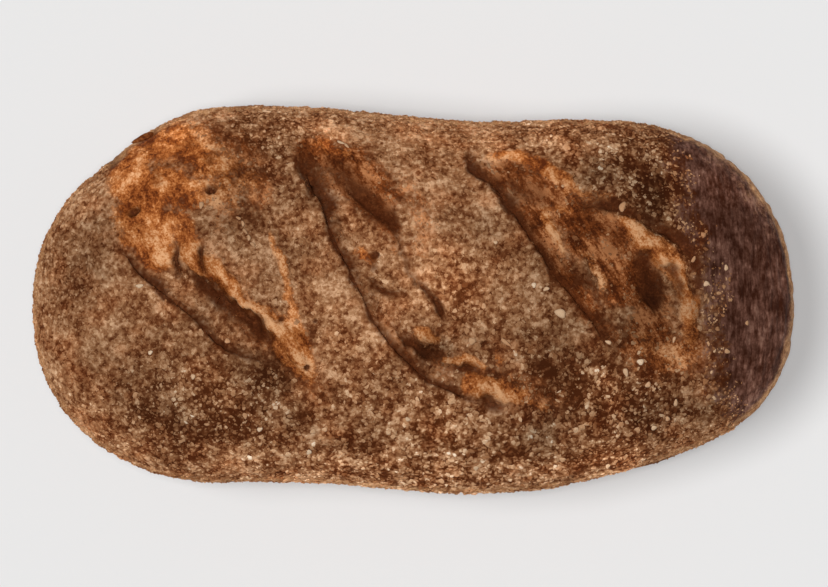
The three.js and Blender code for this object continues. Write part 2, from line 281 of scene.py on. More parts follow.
# %% Sizes of the form, in millimetres
LOAF_LENGTH = 280.0
HALF_WIDTH = 69.0
SPINE_HALF = LOAF_LENGTH / 2 - HALF_WIDTH
CROWN_LEVEL = 102.5
# How much lower the crown is at its ends, how round its section is, and how fast relief fades outwards
CROWN_ARCH = 9.0
CROWN_FULLNESS = 2.25
RELIEF_FADE = 6
SMALLEST = 1e-9

# How the widest line departs from the oval: [bearing in degrees, height, spread in degrees]
SWELLS = [
    (12, 1.0, 9),
    (39, -1.5, 10),
    (67, -3.5, 28),
    (129, 2.5, 22),
    (153, -4.5, 11),
    (197, 2.5, 14),
    (243, -2.0, 30),
    (281, 3.5, 39),
    (324, -7.0, 13),
    (349, 2.0, 10),
]

# [height, how far inside the widest line, share of the swells]
WALL_LEVELS = [
    (WIDEST_LEVEL, 0, 1),
    (60, 0.8, 0.95),
    (57, 2.6, 0.6),
    (54.5, 5, 0),
    (34, 7.8, 0),
    (10, 12, 0),
    (4, 14, 0),
    (1, 17, 0),
    (0, 21, 0),
]

# [x, y, reach, height]
HUMPS = [
    (-93, 42, 20, 2.5),
    (-68, 30, 16, 1.5),
    (-66, -12, 13, -1.5),
    (-29, 45, 14, -2),
    (-8, 8, 15, 1.5),
    (22, -20, 15, -1.5),
    (46, 36, 15, -1.5),
    (78, 12, 18, 1.5),
    (85, 4, 9, -2),
    (-15, -40, 30, 1.2),
    (12, 30, 22, 1.5),
]


def plan_share(x, y):
    """Share of the way from the spine to the widest line, and that line's distance."""
    spine_x = np.clip(x, -SPINE_HALF, SPINE_HALF)
    away_x = x - spine_x
    distance = np.hypot(away_x, y)
    unit = np.maximum(distance, SMALLEST)
    out_x = away_x / unit
    out_y = np.where(distance > SMALLEST, y / unit, 1.0)
    bearing = np.degrees(np.arctan2(out_y * HALF_WIDTH, spine_x + out_x * HALF_WIDTH))
    reach = np.full_like(distance, HALF_WIDTH)
    for at, height, spread in SWELLS:
        turn = (bearing - at + 180) % 360 - 180
        reach += height * np.exp(-((turn / spread) ** 2))
    return distance / reach, reach


print("widest line from the spine, at +Y, mm:", round(float(plan_share(np.zeros(1), np.ones(1))[1][0]), 1))

# %% [markdown]
# ## The scores
# The baker cut the dough three times on the slant. In the oven each cut opened: its near left edge
# lifted into a lip, a dark crack runs under the lip, and beyond it lies the torn belly, with ridges that
# the rising dough pulled up. Each of these follows a line over the crown. A line is a few given
# places with a width and a depth, joined smoothly. `beside` then says, for every point of the crust, how
# far it is from a line and on which side, and everything else follows from that distance.

# %% Cracks and ridges, in millimetres
# [x, y, width, depth]
CRACKS = {
    "left_edge": [
        (-108, 19.5, 0.8, 1),
        (-100, 9, 1.8, 2.6),
        (-91, 2, 1.5, 2.4),
        (-78.8, -8.2, 1.4, 2.2),
        (-70, -17.5, 1.6, 2),
        (-62, -20.5, 1.3, 1.6),
        (-50, -25, 0.8, 1),
    ],
    "left_trench": [
        (-80.5, 8, 1, 1),
        (-76, 3, 4, 3.5),
        (-69, -2.5, 6, 4.5),
        (-62, -7.5, 6, 4.5),
        (-56, -12, 4, 2.5),
        (-51, -16.5, 1, 0.6),
    ],
    "middle_edge": [
        (-41, 54, 2, 1),
        (-37.3, 45, 6.5, 4),
        (-33, 35, 6, 4.5),
        (-28.6, 23, 3, 3.4),
        (-22, 9, 1.8, 2),
        (-12.8, -10, 1.6, 1.9),
        (-3.6, -21.2, 1.8, 2.1),
        (6.3, -29.8, 2, 2),
        (18.6, -36, 1.6, 1.7),
        (28, -38.4, 0.8, 1),
    ],
    "middle_inner": [
        (-23, 40, 1.5, 1),
        (-17, 34.5, 5, 3),
        (-9.5, 29, 5, 3),
        (-6, 22, 1.8, 1.4),
        (-0.6, 10, 0.8, 0.5),
        (4.4, 2.3, 1.4, 1.8),
        (9.5, -3.2, 2.2, 2.4),
        (12.5, -7.5, 1, 1),
    ],
    "right_edge": [
        (20.8, 54, 1, 1),
        (23.4, 47.5, 3, 2.5),
        (29.5, 42.8, 3, 3),
        (35.5, 36, 5, 4),
        (42.5, 24, 2.6, 2.8),
        (50.1, 11.8, 2, 2.2),
        (58.7, 1, 2.2, 2.4),
        (64.5, -6.5, 2.4, 2.4),
        (70.5, -15.8, 1, 1),
    ],
    "right_arc": [
        (60.5, 33.4, 0.8, 0.8),
        (66.7, 34.3, 2, 2),
        (73, 32.8, 2.4, 2.2),
        (79, 29.6, 0.8, 0.8),
    ],
}

# Finer tears that only the crust's surface has
TEARS = {
    "left_first_tear": [(-87.2, 20, 0.6, 1), (-86.8, 14, 1.4, 2.2), (-86, 8, 1.2, 1.6)],
    "left_second_tear": [(-77.8, 22, 0.4, 0.8), (-77.2, 16, 1, 1.6), (-76.4, 10, 0.8, 1.2)],
    "left_far_edge": [(-110.5, 47.5, 0.8, 0.8), (-109, 50, 2, 1.4), (-107, 52.5, 0.8, 0.8)],
    "middle_arc": [(-14, 7, 0.8, 0.8), (-11.5, 3.4, 1.4, 1.5), (-7.6, 1.5, 1.2, 1.4), (-3, 1.3, 0.8, 0.8)],
    "middle_pocket": [(-6.5, -11, 1, 0.8), (-2, -16, 2.4, 1.8), (4, -19.5, 3, 2.4), (9, -20.3, 1.4, 1)],
    "middle_under_ridge": [(12, -25.5, 0.8, 0.8), (19, -27, 2.2, 1.6), (25.5, -26.3, 0.8, 0.8)],
    "middle_near_edge": [(17, -34.5, 1, 1), (28, -38.5, 2.4, 1.6), (36, -38.8, 1, 0.8)],
    "right_streak_tear": [(63.2, 11, 0.8, 0.8), (64.8, 5.5, 1.8, 1.6), (68.2, 0.5, 0.8, 0.8)],
    "right_ridge_far_side": [(84, 27.5, 1, 0.8), (95, 21, 2.4, 2), (102.5, 12.5, 1.6, 1.2)],
    "right_ridge_near_side": [
        (86, 15, 1.5, 0.8),
        (93.8, 10.5, 2.2, 1.8),
        (97.2, 2, 2, 1.6),
        (97, -5, 1, 0.6),
    ],
}

# [x, y, half width, height]
RIDGES = {
    "left_far_bulge": [(-104, 25, 2, 0.6), (-99.5, 21.5, 3.4, 1.4), (-96, 17, 1.5, 0.6)],
    "left_bulge": [(-94, 20, 2, 0.8), (-91.6, 14.5, 4, 2.2), (-89.5, 9.5, 1.8, 0.6)],
    "left_second_bulge": [(-83.5, 22, 2, 0.8), (-82, 16, 4, 2.2), (-79.5, 10.5, 2, 0.8)],
    "left_ridge": [
        (-74.5, 13, 1.5, 0.8),
        (-69, 7, 2.8, 2.2),
        (-62, -0.3, 2.4, 2),
        (-54.8, -6, 2.8, 2.4),
        (-48, -13.5, 4.5, 2.8),
        (-41.5, -20.5, 3.6, 2.2),
        (-37, -26, 1.2, 0.6),
    ],
    "left_streak": [(-51, 23.5, 1, 0.5), (-47.6, 12, 2, 1.1), (-44.9, 0.4, 1.8, 1), (-41.5, -8, 1.2, 0.6)],
    "middle_bulge": [(0.5, -10.5, 1.5, 0.8), (4.8, -13.5, 3.4, 2.2), (9.5, -16.8, 1.5, 0.8)],
    "middle_ridge": [(11.5, -22, 1, 0.6), (18.5, -23, 2.2, 1.8), (26, -23.6, 1, 0.6)],
    "middle_near_bulge": [(21.5, -30.5, 1.8, 1), (29, -32.6, 4.2, 2.6), (37, -34, 1.8, 1)],
    "right_inner": [(48.8, 29, 1.8, 1), (52.3, 24.5, 3, 2), (55.4, 19, 1.6, 0.8)],
    "right_streak": [(61.5, 18.5, 1, 0.6), (66.4, 12, 2, 1.4), (69.4, 4.5, 2, 1.4), (70.2, -1.5, 1, 0.5)],
    "right_ridge": [
        (76.5, 27, 1.4, 0.8),
        (81, 23.8, 3, 2),
        (90.5, 15.8, 3.6, 2.6),
        (95.8, 9.6, 3, 2.4),
        (99.8, 1.5, 2.8, 1.8),
        (101.2, -6, 2.6, 1.4),
        (100.4, -14, 1.4, 0.7),
    ],
    "right_pocket_rim": [
        (80.2, 7, 0.8, 0.5),
        (81, 1.5, 1.2, 1.1),
        (83.8, -3, 1.2, 1.2),
        (88.5, -6, 1, 0.8),
    ],
}

# Air holes: [x, y, half length, half width, depth]
AIR_HOLES = [
    (-73.8, 40.2, 1.8, 1.7, 3.6),
    (-102.6, 32, 2.6, 1.8, 2.8),
    (-14, 15.8, 2, 1.4, 1.8),
    (26.3, -16.8, 1.9, 1.2, 1.8),
    (49.8, -35.3, 1.6, 1.3, 1.6),
    (-48, -7.6, 1.3, 1.1, 1.4),
    (-38.7, -25.2, 1.3, 1.1, 1.4),
    (-35.6, -8.2, 1.1, 0.9, 0.7),
]
AIR_HOLE_TURN = math.radians(20)
print("cracks:", len(CRACKS), "tears:", len(TEARS), "ridges:", len(RIDGES), "air holes:", len(AIR_HOLES))

# %% [markdown]
# Blender's curves could join the places too, but they can't tell how far each point of a mesh is from
# them. With numpy both jobs are short. The curve below passes through every place, and its rows lie so
# close together that the nearest row is as good as the nearest point of the line.

# %% A smooth line, and the way to it from any point
LINE_PACE = 0.4
# Points that are worked out at once, so that the tables of distances stay small
CHUNK = 4096


def broadest(places):
    """The largest width in the given rows of a line."""
    return max(place[2] for place in places)


def smooth_line(places, pace=LINE_PACE):
    """Rows of a smooth line through given rows, about `pace` apart."""
    rows = np.array(places, float)
    padded = np.vstack([2 * rows[0] - rows[1], rows, 2 * rows[-1] - rows[-2]])
    parts = []
    for before, start, end, after in zip(padded, padded[1:], padded[2:], padded[3:]):
        steps = max(2, math.ceil(np.hypot(*(end - start)[:2]) / pace))
        t = np.linspace(0, 1, steps, endpoint=False)[:, None]
        bend = 2 * before - 5 * start + 4 * end - after
        twist = 3 * start - before - 3 * end + after
        parts.append(start + 0.5 * t * (end - before + t * (bend + t * twist)))
    return np.vstack([*parts, rows[-1:]])


def beside(line, x, y, margin):
    """For the plan points within a margin of a line: which they are, how far beyond it they lie (towards
    +X and +Y), the line's row there, and the share of its length up to there."""
    low, high = line[:, :2].min(0) - margin, line[:, :2].max(0) + margin
    which = np.flatnonzero((x > low[0]) & (x < high[0]) & (y > low[1]) & (y < high[1]))
    along = np.gradient(line[:, :2], axis=0)
    along /= np.linalg.norm(along, axis=1)[:, None]
    side = np.empty(len(which))
    row = np.empty(len(which), int)
    for start in range(0, len(which), CHUNK):
        part = which[start : start + CHUNK]
        gap_x = x[part, None] - line[:, 0]
        gap_y = y[part, None] - line[:, 1]
        nearest = np.argmin(gap_x**2 + gap_y**2, axis=1)
        pick = np.arange(len(part)), nearest
        dx, dy = gap_x[pick], gap_y[pick]
        tx, ty = along[nearest].T
        across = tx * dy - ty * dx
        past_end = np.maximum(np.abs(tx * dx + ty * dy) - LINE_PACE, 0)
        side[start : start + CHUNK] = np.where(across < 0, -1, 1) * np.hypot(across, past_end)
        row[start : start + CHUNK] = nearest
    near = np.abs(side) < margin
    return which[near], side[near], line[row[near]], row[near] / (len(line) - 1)


# The three cracks that are the edges of the scores, and so have a lip and a belly
SCORES = ("left_edge", "middle_edge", "right_edge")
score_lines = [smooth_line(CRACKS[name]) for name in SCORES]
print("points on the scores' lines:", [len(line) for line in score_lines])

# %% [markdown]
# The crown is a dome that falls away to the widest line, with three kinds of relief added: the humps, a
# lip along each score, and the belly beyond it. The relief fades towards the widest line, where the
# swells of the outline take over.

# %% The crown's height
SCORE_MARGIN = 25.0
# A lip's height, and how far it spreads on its near and on its far side
LIP_HEIGHT, LIP_SPREAD, LIP_FALL = 1.6, 5.0, 4.0
# A belly's depth, how far beyond the crack it lies, how far it spreads, and where it begins
BELLY_DEPTH, BELLY_AWAY, BELLY_SPREAD, BELLY_EASE = 2.6, 6.0, 7.0, 2.0


def crown_height(x, y):
    """Height of the crown over plan points, with its humps, its lips and the sunken bellies."""
    share, _ = plan_share(x, y)
    share = np.minimum(share, 1)
    rise = CROWN_LEVEL - WIDEST_LEVEL - CROWN_ARCH * (x / (LOAF_LENGTH / 2)) ** 2
    dome = (1 - share**CROWN_FULLNESS) ** (1 / CROWN_FULLNESS)
    relief = np.zeros_like(x)
    for at_x, at_y, reach, height in HUMPS:
        relief += height * np.exp(-((x - at_x) ** 2 + (y - at_y) ** 2) / reach**2)
    for line in score_lines:
        which, side, _, along = beside(line, x, y, SCORE_MARGIN)
        fade = np.sqrt(np.sin(np.pi * along))
        lip = LIP_HEIGHT * np.exp(-((side / np.where(side < 0, LIP_SPREAD, LIP_FALL)) ** 2))
        belly = BELLY_DEPTH * np.exp(-(((side - BELLY_AWAY) / BELLY_SPREAD) ** 2))
        relief[which] += fade * (lip - belly * np.clip(side / BELLY_EASE, 0, 1))
    return WIDEST_LEVEL + rise * dome + relief * (1 - share**RELIEF_FADE)


print("crown over the middle, mm:", round(float(crown_height(np.zeros(1), np.zeros(1))[0]), 1))

# %% [markdown]
# ## The fine crust's lattice
# The solid is faceted at about 5 mm. The crust that shows needs cells of about 0.6 mm, so it is a new
# closed mesh on the same form. Its rings run round the loaf: from the spine out over the crown, down the
# walls and in under the base. That is a lattice of directions by rings, so numpy makes it at once.

# %% Crust lattice
CELL = 0.62
# How far it is over the crown from the spine to the widest line
CROWN_ARC = 92.0
# The step between rings down the walls, and the reach of the rings under the base
WALL_PACE = 1.5 * CELL
BASE_SHARES = (0.75, 0.5, 0.25, 0.0)
side_steps = round(2 * SPINE_HALF / CELL)
end_steps = round(math.pi * HALF_WIDTH / CELL)
crown_rings = round(CROWN_ARC / CELL)


def outline_directions():
    """The spine point and the way out for each column of the lattice, anticlockwise from the near right."""
    turn = np.arange(end_steps) * math.pi / end_steps
    slide = np.arange(side_steps) / side_steps
    right = np.stack([np.full(end_steps, SPINE_HALF), np.sin(turn), -np.cos(turn)])
    left = right * np.array([[-1], [-1], [-1]])
    far = np.stack([SPINE_HALF * (1 - 2 * slide), np.zeros(side_steps), np.ones(side_steps)])
    return np.hstack([right, far, left, far * np.array([[-1], [1], [-1]])])


spine_x, out_x, out_y = outline_directions()
_, widest = plan_share(spine_x + out_x * HALF_WIDTH, out_y * HALF_WIDTH)


def flat_ring(reach, height):
    """A level ring of the lattice, at some reach from the spine."""
    return np.stack([spine_x + out_x * reach, out_y * reach, np.full_like(spine_x, height)], axis=1)


rings = []
for share in np.sin(np.arange(crown_rings) / crown_rings * math.pi / 2):
    x, y = spine_x + out_x * share * widest, out_y * share * widest
    rings.append(np.stack([x, y, crown_height(x, y)], axis=1))
wall_rows = [(inset, height, swell) for height, inset, swell in WALL_LEVELS]
for inset, height, swell in smooth_line(wall_rows, WALL_PACE):
    rings.append(flat_ring(HALF_WIDTH - inset + swell * (widest - HALF_WIDTH), height))
rings += [flat_ring((HALF_WIDTH - WALL_LEVELS[-1][1]) * share, 0) for share in BASE_SHARES]
lattice = np.array(rings)
print("lattice, rings by columns:", lattice.shape[:2])

# %% [markdown]
# The innermost ring of the crown and of the base lies on the spine. Its points fall together there, so
# those with the same x are made one. Then each cell becomes two triangles, and the ones that have lost a
# corner are left out. `from_pydata` would take Python lists, which is slow at this size, so the mesh
# is filled from numpy's arrays.

# %% Join it into a closed mesh
# Points whose x agrees to this are one point
JOIN_GRID = 0.01
ring_count, column_count = lattice.shape[:2]
outline_centre = (lattice.reshape(-1, 3).max(0) + lattice.reshape(-1, 3).min(0)) / 2
outline_centre[2] = 0

number = np.arange(ring_count * column_count).reshape(ring_count, column_count)
for ring in (0, ring_count - 1):
    same_x = np.round(lattice[ring, :, 0] / JOIN_GRID).astype(int)
    _, first, group = np.unique(same_x, return_index=True, return_inverse=True)
    number[ring] = number[ring][first][group]
following = np.roll(number, -1, axis=1)
a, b, c, d = number[:-1], following[:-1], following[1:], number[1:]
triangles = np.concatenate([np.stack(corners, -1).reshape(-1, 3) for corners in ((a, d, c), (a, c, b))])
empty = (triangles == np.roll(triangles, 1, axis=1)).any(axis=1)
used, triangles = np.unique(triangles[~empty], return_inverse=True)
triangles = triangles.reshape(-1, 3)
plan = lattice.reshape(-1, 3)[used]


def mesh_from(name, points_mm, triangles):
    """A smooth-shaded mesh from millimetre points and rows of three corners."""
    mesh = bpy.data.meshes.new(name)
    mesh.vertices.add(len(points_mm))
    mesh.vertices.foreach_set("co", (points_mm * MM).astype(np.float32).ravel())
    mesh.loops.add(triangles.size)
    mesh.loops.foreach_set("vertex_index", triangles.astype(np.int32).ravel())
    mesh.polygons.add(len(triangles))
    mesh.polygons.foreach_set("loop_start", np.arange(0, triangles.size, 3, dtype=np.int32))
    mesh.polygons.foreach_set("use_smooth", np.ones(len(triangles), bool))
    mesh.update(calc_edges=True)
    return mesh


def normals_of(mesh):
    """The way out at each point of a mesh."""
    values = np.empty(len(mesh.vertices) * 3, np.float32)
    mesh.vertex_normals.foreach_get("vector", values)
    return values.reshape(-1, 3).astype(float)


normals = normals_of(mesh_from("plain_crust", plan - outline_centre, triangles))
print("crust points:", len(plan), "triangles:", len(triangles), "up at the top:", normals[0].round(2))

# %% [markdown]
# ## Where things are on the crust
# Most of what makes this crust is a question of where: where it is torn and orange, where bran lies
# thick, where it is bare. Painting by hand would need an image. Here each mark is a stroke instead, a
# smooth line with a half width and a strength at each place, like the cracks. Chance patches from
# `cloud` shift the strokes a little, so that no edge looks drawn.

# %% Chance patches
TABLE_SIZE = 96


def step(value, low, high):
    """0 below a low mark, 1 above a high one, and an even bend between them."""
    share = np.clip((value - low) / (high - low), 0, 1)
    return share * share * (3 - 2 * share)


def cloud(x, y, size, seed):
    """Smooth chance values from -1 to 1 over the plan, in patches of about a size."""
    table = np.random.default_rng(seed).uniform(-1, 1, (TABLE_SIZE, TABLE_SIZE))
    table = np.pad(table, (0, 1), mode="wrap")
    i, j = np.floor(x / size).astype(int), np.floor(y / size).astype(int)
    f, g = x / size - i, y / size - j
    f, g = f * f * (3 - 2 * f), g * g * (3 - 2 * g)
    i, j = i % TABLE_SIZE, j % TABLE_SIZE
    near = table[i, j] * (1 - f) + table[i + 1, j] * f
    far = table[i, j + 1] * (1 - f) + table[i + 1, j + 1] * f
    return near * (1 - g) + far * g


crown_x, crown_y, level = plan.T
share_out, _ = plan_share(crown_x, crown_y)
on_crown = step(level, WIDEST_LEVEL - 6, WIDEST_LEVEL - 1)


def wandering(values, seed):
    """Coordinates that stray a little, in large and in small patches."""
    return values + 1.8 * cloud(crown_x, crown_y, 7, seed) + 0.8 * cloud(crown_x, crown_y, 2.4, seed + 1)


wander_x, wander_y = wandering(crown_x, 1), wandering(crown_y, 3)
print("strokes stray by up to, mm:", round(float(np.abs(wander_x - crown_x).max()), 1))

# %% Strokes and soft patches
STROKE_PACE = 1.0
# How many half widths from its line a stroke still shows
STROKE_REACH = 1.7


def painted(strokes):
    """How strongly strokes of [x, y, half width, strength] rows cover each point, 0 to 1."""
    covered = np.zeros(len(plan))
    for places in strokes:
        line = smooth_line(places, STROKE_PACE)
        which, side, row, _ = beside(line, wander_x, wander_y, STROKE_REACH * broadest(places))
        strength = row[:, 3] * np.exp(-((np.abs(side) / row[:, 2]) ** 3))
        covered[which] = np.maximum(covered[which], strength)
    return covered * on_crown


def patched(patches):
    """The sum of soft round patches of [x, y, reach, amount]."""
    total = np.zeros(len(plan))
    for at_x, at_y, reach, amount in patches:
        total += amount * np.exp(-((crown_x - at_x) ** 2 + (crown_y - at_y) ** 2) / reach**2)
    return total


print("points under a test stroke:", int((painted([[(-5, 0, 2, 1), (5, 0, 2, 1)]]) > 0.5).sum()))

# %% [markdown]
# The torn bellies first. Where the dough tore open late, it browned for a shorter time, so it is orange
# and has no bran. Where it tore early, it is dark again, and redder.

# %% Torn crust
ORANGE_STROKES = [
    [(-104, 50, 9, 1), (-101, 38, 11, 1), (-98, 26, 10, 1), (-93, 15, 6.5, 1)],
    [(-98, 56, 6, 1), (-88, 57, 8, 0.9), (-78, 52, 9, 0.8), (-68, 47, 8, 0.65), (-60, 44, 6, 0.5)],
    [(-92, 42, 9, 0.9), (-82, 38, 8, 0.8), (-73, 38, 6, 0.6), (-62, 34, 4, 0.4)],
    [(-94, 30, 8, 0.9), (-86, 28, 6, 0.8), (-82, 20, 5, 0.9)],
    [
        (-84, 17, 5, 1),
        (-76, 11, 5, 1),
        (-68, 5, 3.6, 1),
        (-59.5, -3, 4, 1),
        (-52, -8.5, 5.8, 1),
        (-45.5, -13.5, 7.6, 1),
        (-41.5, -20, 7, 1),
        (-37.5, -26.5, 4, 0.6),
    ],
    [(-51, 24, 2, 0.5), (-48, 14, 2.6, 0.75), (-45, 2, 2.2, 0.6), (-42, -6, 2.4, 0.7)],
    [(-36, 56.5, 2, 0.5), (-31, 56, 2.4, 0.8), (-25.5, 53, 2.4, 0.6)],
    [(-18.5, 17, 3, 0.8), (-17, 15.5, 2.5, 0.7)],
    [(2, -12, 2.4, 0.7), (5.5, -12.8, 3.6, 0.85), (9, -14.4, 2.8, 0.7)],
    [(13, -22, 2, 0.8), (19, -23, 2.9, 1), (25.5, -24.5, 2, 0.8)],
    [(29.5, -18.5, 2, 0.5), (31.5, -22.5, 2.4, 0.65)],
    [
        (21, -31, 3.4, 0.9),
        (29, -32.5, 5.4, 1),
        (36, -34, 4, 0.9),
        (43, -37.5, 3, 0.6),
        (50, -40, 2.6, 0.45),
    ],
    [(28, 53, 2, 0.5), (38, 52.5, 3, 1), (44, 51, 3, 0.8), (51, 46.5, 3.6, 1), (56, 42, 3, 0.7)],
    [(56, 40, 4, 0.5), (64, 38, 4, 0.5), (72, 37, 3, 0.45)],
    [(48, 33, 2, 0.6), (56, 33.5, 2, 0.6), (62, 33, 2, 0.4)],
    [(49, 29, 2.4, 0.9), (52, 24.5, 3.2, 1), (54.5, 20, 2.4, 0.7)],
    [
        (76.5, 27.5, 2.4, 0.9),
        (81.5, 23.5, 4.2, 1),
        (90.5, 16, 4.6, 1),
        (95.8, 10, 3.8, 1),
        (99.8, 1.5, 3.5, 1),
        (101.4, -6, 3.2, 0.9),
        (100.6, -14, 3, 0.6),
    ],
    [(62, 17, 1.5, 0.45), (66.5, 12, 2.4, 0.6), (69.5, 5, 2.4, 0.55), (71, -1, 1.5, 0.3)],
    [(86, -18, 6, 0.4), (96, -21, 7, 0.45), (106, -21, 6, 0.42)],
]
RED_STROKES = [
    [(-42, 55, 3, 0.9), (-34, 54.5, 5, 1), (-25, 51, 6, 1), (-16, 45, 7, 1), (-9, 38, 6, 0.8)],
    [(-35, 48, 4, 0.5), (-25, 42, 5, 0.7), (-17, 36, 6, 0.9), (-10, 28, 5, 0.8), (-6, 18, 4, 0.4)],
    [(-10, 42, 6, 0.5), (-1, 37, 7, 0.5), (4, 29, 7, 0.45), (2, 20, 6, 0.35)],
    [(-88, 62, 5, 0.6), (-76, 60, 6, 0.6), (-64, 54, 7, 0.65), (-57, 42, 7, 0.65), (-60, 30, 6, 0.45)],
    [(-78, 46, 6, 0.7), (-68, 38, 6, 0.7), (-70, 28, 5, 0.35)],
    [(30, 47, 5, 0.8), (42, 44, 6, 0.9), (52, 37, 6, 0.9), (60, 30, 7, 1), (70, 26, 7, 1), (79, 20, 6, 1)],
    [(44, 34, 6, 0.9), (50, 18, 5, 0.9), (58, 6, 5, 0.9), (66, -6, 5, 0.8), (74, -14, 4, 0.5)],
    [(62, 20, 6, 0.95), (72, 12, 6, 1), (76, 2, 6, 0.9)],
    [(80, 8, 8, 0.95), (88, -6, 8, 0.95), (84, -16, 9, 0.9), (100, -20, 9, 0.8), (108, -12, 5, 0.5)],
    [(0, -14, 5, 0.5), (14, -24, 5, 0.6), (30, -30, 7, 0.6), (44, -35, 7, 0.6), (56, -38, 4, 0.4)],
    [(-60, -8, 8, 0.6), (-46, -18, 7, 0.5), (-38, -30, 6, 0.5), (-33, -34, 5, 0.4)],
    [(-25, 19, 2.2, 0.3), (-17, 4, 2.4, 0.35), (-8, -12, 2.8, 0.35), (2, -24, 3, 0.35), (12, -31, 3, 0.4)],
]
# Painted shade: the shadows in the cracks, trenches and pockets and under the ridges
SHADE_STROKES = [
    [(-59, -20, 3, 0.4), (-53, -23, 3.5, 0.6)],
    [
        (-41, 53, 2.6, 0.7),
        (-37, 45, 3.2, 0.95),
        (-33, 36, 3.6, 1),
        (-29, 28, 2.2, 0.9),
        (-25, 18, 1.3, 0.6),
    ],
    [(-26, 30, 1.1, 0.6), (-24.6, 24, 1, 0.4)],
    [(-15, 8, 0.9, 0.4), (-14, 1, 0.9, 0.5), (-10, -6, 0.9, 0.4)],
    [(-4, -15, 1, 0.5), (1, -21, 1.2, 0.6), (6, -24, 1, 0.5)],
    [(-31, 51, 4, 0.5), (-25, 45, 5, 0.7), (-17, 37, 5, 0.85), (-11, 30, 3.6, 0.85), (-8, 25, 2, 0.75)],
    [(-8, 26, 1.8, 0.7), (-5.5, 20, 1.3, 0.6), (-2.5, 13, 1.1, 0.5), (0, 8, 1, 0.45), (4, 3, 1.1, 0.7)],
    [(-14, 7, 1.1, 0.7), (-11.5, 3.4, 1.3, 0.9), (-6, 1.4, 1.2, 0.7)],
    [(-16, 16.5, 1.5, 0.6), (-14.5, 12, 1.3, 0.6)],
    [
        (21.5, 52, 2.2, 0.7),
        (29.5, 43, 2.4, 0.95),
        (36.5, 35, 2.8, 1),
        (42.5, 25, 2, 0.8),
        (47, 18, 1.3, 0.5),
    ],
    [(52, 16, 0.9, 0.3), (56.5, 10, 1.2, 0.6), (59, 4, 1, 0.4)],
    [(62, 11, 1.1, 0.4), (66, 4.5, 1.3, 0.6), (69.5, -1, 1.5, 0.75)],
    [(64, -4, 1.2, 0.4), (68, -11, 1.6, 0.6), (73, -17, 1.4, 0.45), (78, -21, 1.4, 0.35)],
    [(80, 20, 1.6, 0.4), (74, 22.5, 2, 0.35)],
    [(34, 46, 5, 0.35), (42, 41, 5, 0.5), (48, 36, 4, 0.45)],
    [(66, 29, 5, 0.3), (74, 22, 5, 0.4)],
    [(84, 14, 3.5, 0.8), (85.5, 6, 4.4, 0.95), (88, -2, 3.6, 0.8)],
    [(67, 34, 1.4, 0.5), (76, 32, 1.8, 0.8), (84.5, 29.5, 2, 0.7)],
    [(84.5, 30, 2, 0.6), (96, 21.5, 2.2, 0.8), (102.5, 14, 2, 0.9), (106, 5, 1.6, 0.6)],
    [(-75, 51.5, 3, 0.5), (-72, 54, 2, 0.3)],
    [(-94, 49, 1.8, 0.35), (-93.5, 43, 1.8, 0.35)],
    [(-88, 57, 1.4, 0.3), (-81, 57.5, 1.4, 0.35)],
    [(-63, 49, 2, 0.45), (-60, 46, 1.5, 0.3)],
    [(-2, -15, 3, 0.5), (5, -19, 3, 0.7), (10, -20, 2, 0.4)],
    [(12, -27, 2, 0.4), (20, -27, 2.6, 0.6), (27, -27, 2, 0.4)],
]
torn = painted(ORANGE_STROKES)
red = painted(RED_STROKES)
dark = painted(SHADE_STROKES)
print("torn share of the crust:", round(float((torn > 0.5).mean()), 3))

# %% [markdown]
# Then the grooves and beads themselves. A groove has a steep side under its lip and a gentler one
# towards the belly. A bead is round on top. Both are moved along the crust's own normal, and chance
# patches make their width and height uneven. A band on each side of a groove is painted dark, the darker
# the deeper the groove, and so is each air hole: painted shade. The top of each bead is painted paler
# the higher it is: a painted highlight.

# %% Grooves, beads and holes
# How wide each side of a groove is, as a share of its half width, and how square both are
STEEP_SIDE, GENTLE_SIDE, EDGE_POWER = 0.8, 1.25, 2.4
# How much wider the real groove is than its row says, on each side
SPARE_HALF = 0.3
# How wide the band of painted shade beside a groove is, and the depth from which it is fully dark
SHADE_BAND, DARK_DEPTH = 0.8, 1.8
# The height from which a bead's painted highlight is at its palest
HIGHLIGHT_HEIGHT = 2.0
# The share of the strokes' straying that the grooves follow
WAVER = 0.7
# How far small bumps push the outline in and out
OUTLINE_BUMPS = 0.22

groove_x = crown_x + WAVER * (wander_x - crown_x)
groove_y = crown_y + WAVER * (wander_y - crown_y)
bumps = cloud(wander_x, wander_y, 5.3, 17) + cloud(wander_x, wander_y, 2, 18)
relief = OUTLINE_BUMPS * bumps * step(share_out, 0.85, 1)
for places in [*CRACKS.values(), *TEARS.values()]:
    margin = 2 * (broadest(places) + SHADE_BAND)
    which, side, row, _ = beside(smooth_line(places), groove_x, groove_y, margin)
    ragged = 1 + 0.5 * cloud(crown_x[which], crown_y[which], 2.5, 5)
    half = (row[:, 2] / 2 + SPARE_HALF) * np.where(side < 0, STEEP_SIDE, GENTLE_SIDE) * ragged
    depth = (0.85 + 0.25 * cloud(crown_x[which], crown_y[which], 6, 15)) * row[:, 3]
    relief[which] -= depth * np.exp(-((np.abs(side) / half) ** EDGE_POWER))
    # Painted shade in a band along the groove, darker the deeper the groove
    groove_shade = np.exp(-((np.abs(side) / (half + SHADE_BAND)) ** 2)) * np.clip(depth / DARK_DEPTH, 0, 1)
    dark[which] = np.maximum(dark[which], groove_shade)

top = np.zeros(len(plan))
for places in RIDGES.values():
    which, side, row, _ = beside(smooth_line(places), wander_x, wander_y, 2 * broadest(places))
    bead = np.exp(-((np.abs(side) / row[:, 2]) ** EDGE_POWER))
    relief[which] += row[:, 3] * bead * (1 + 0.25 * cloud(crown_x[which], crown_y[which], 4, 6))
    # The top of a bead is painted paler the higher it is: a painted highlight
    top[which] = np.maximum(top[which], bead * np.clip(row[:, 3] / HIGHLIGHT_HEIGHT, 0, 1))

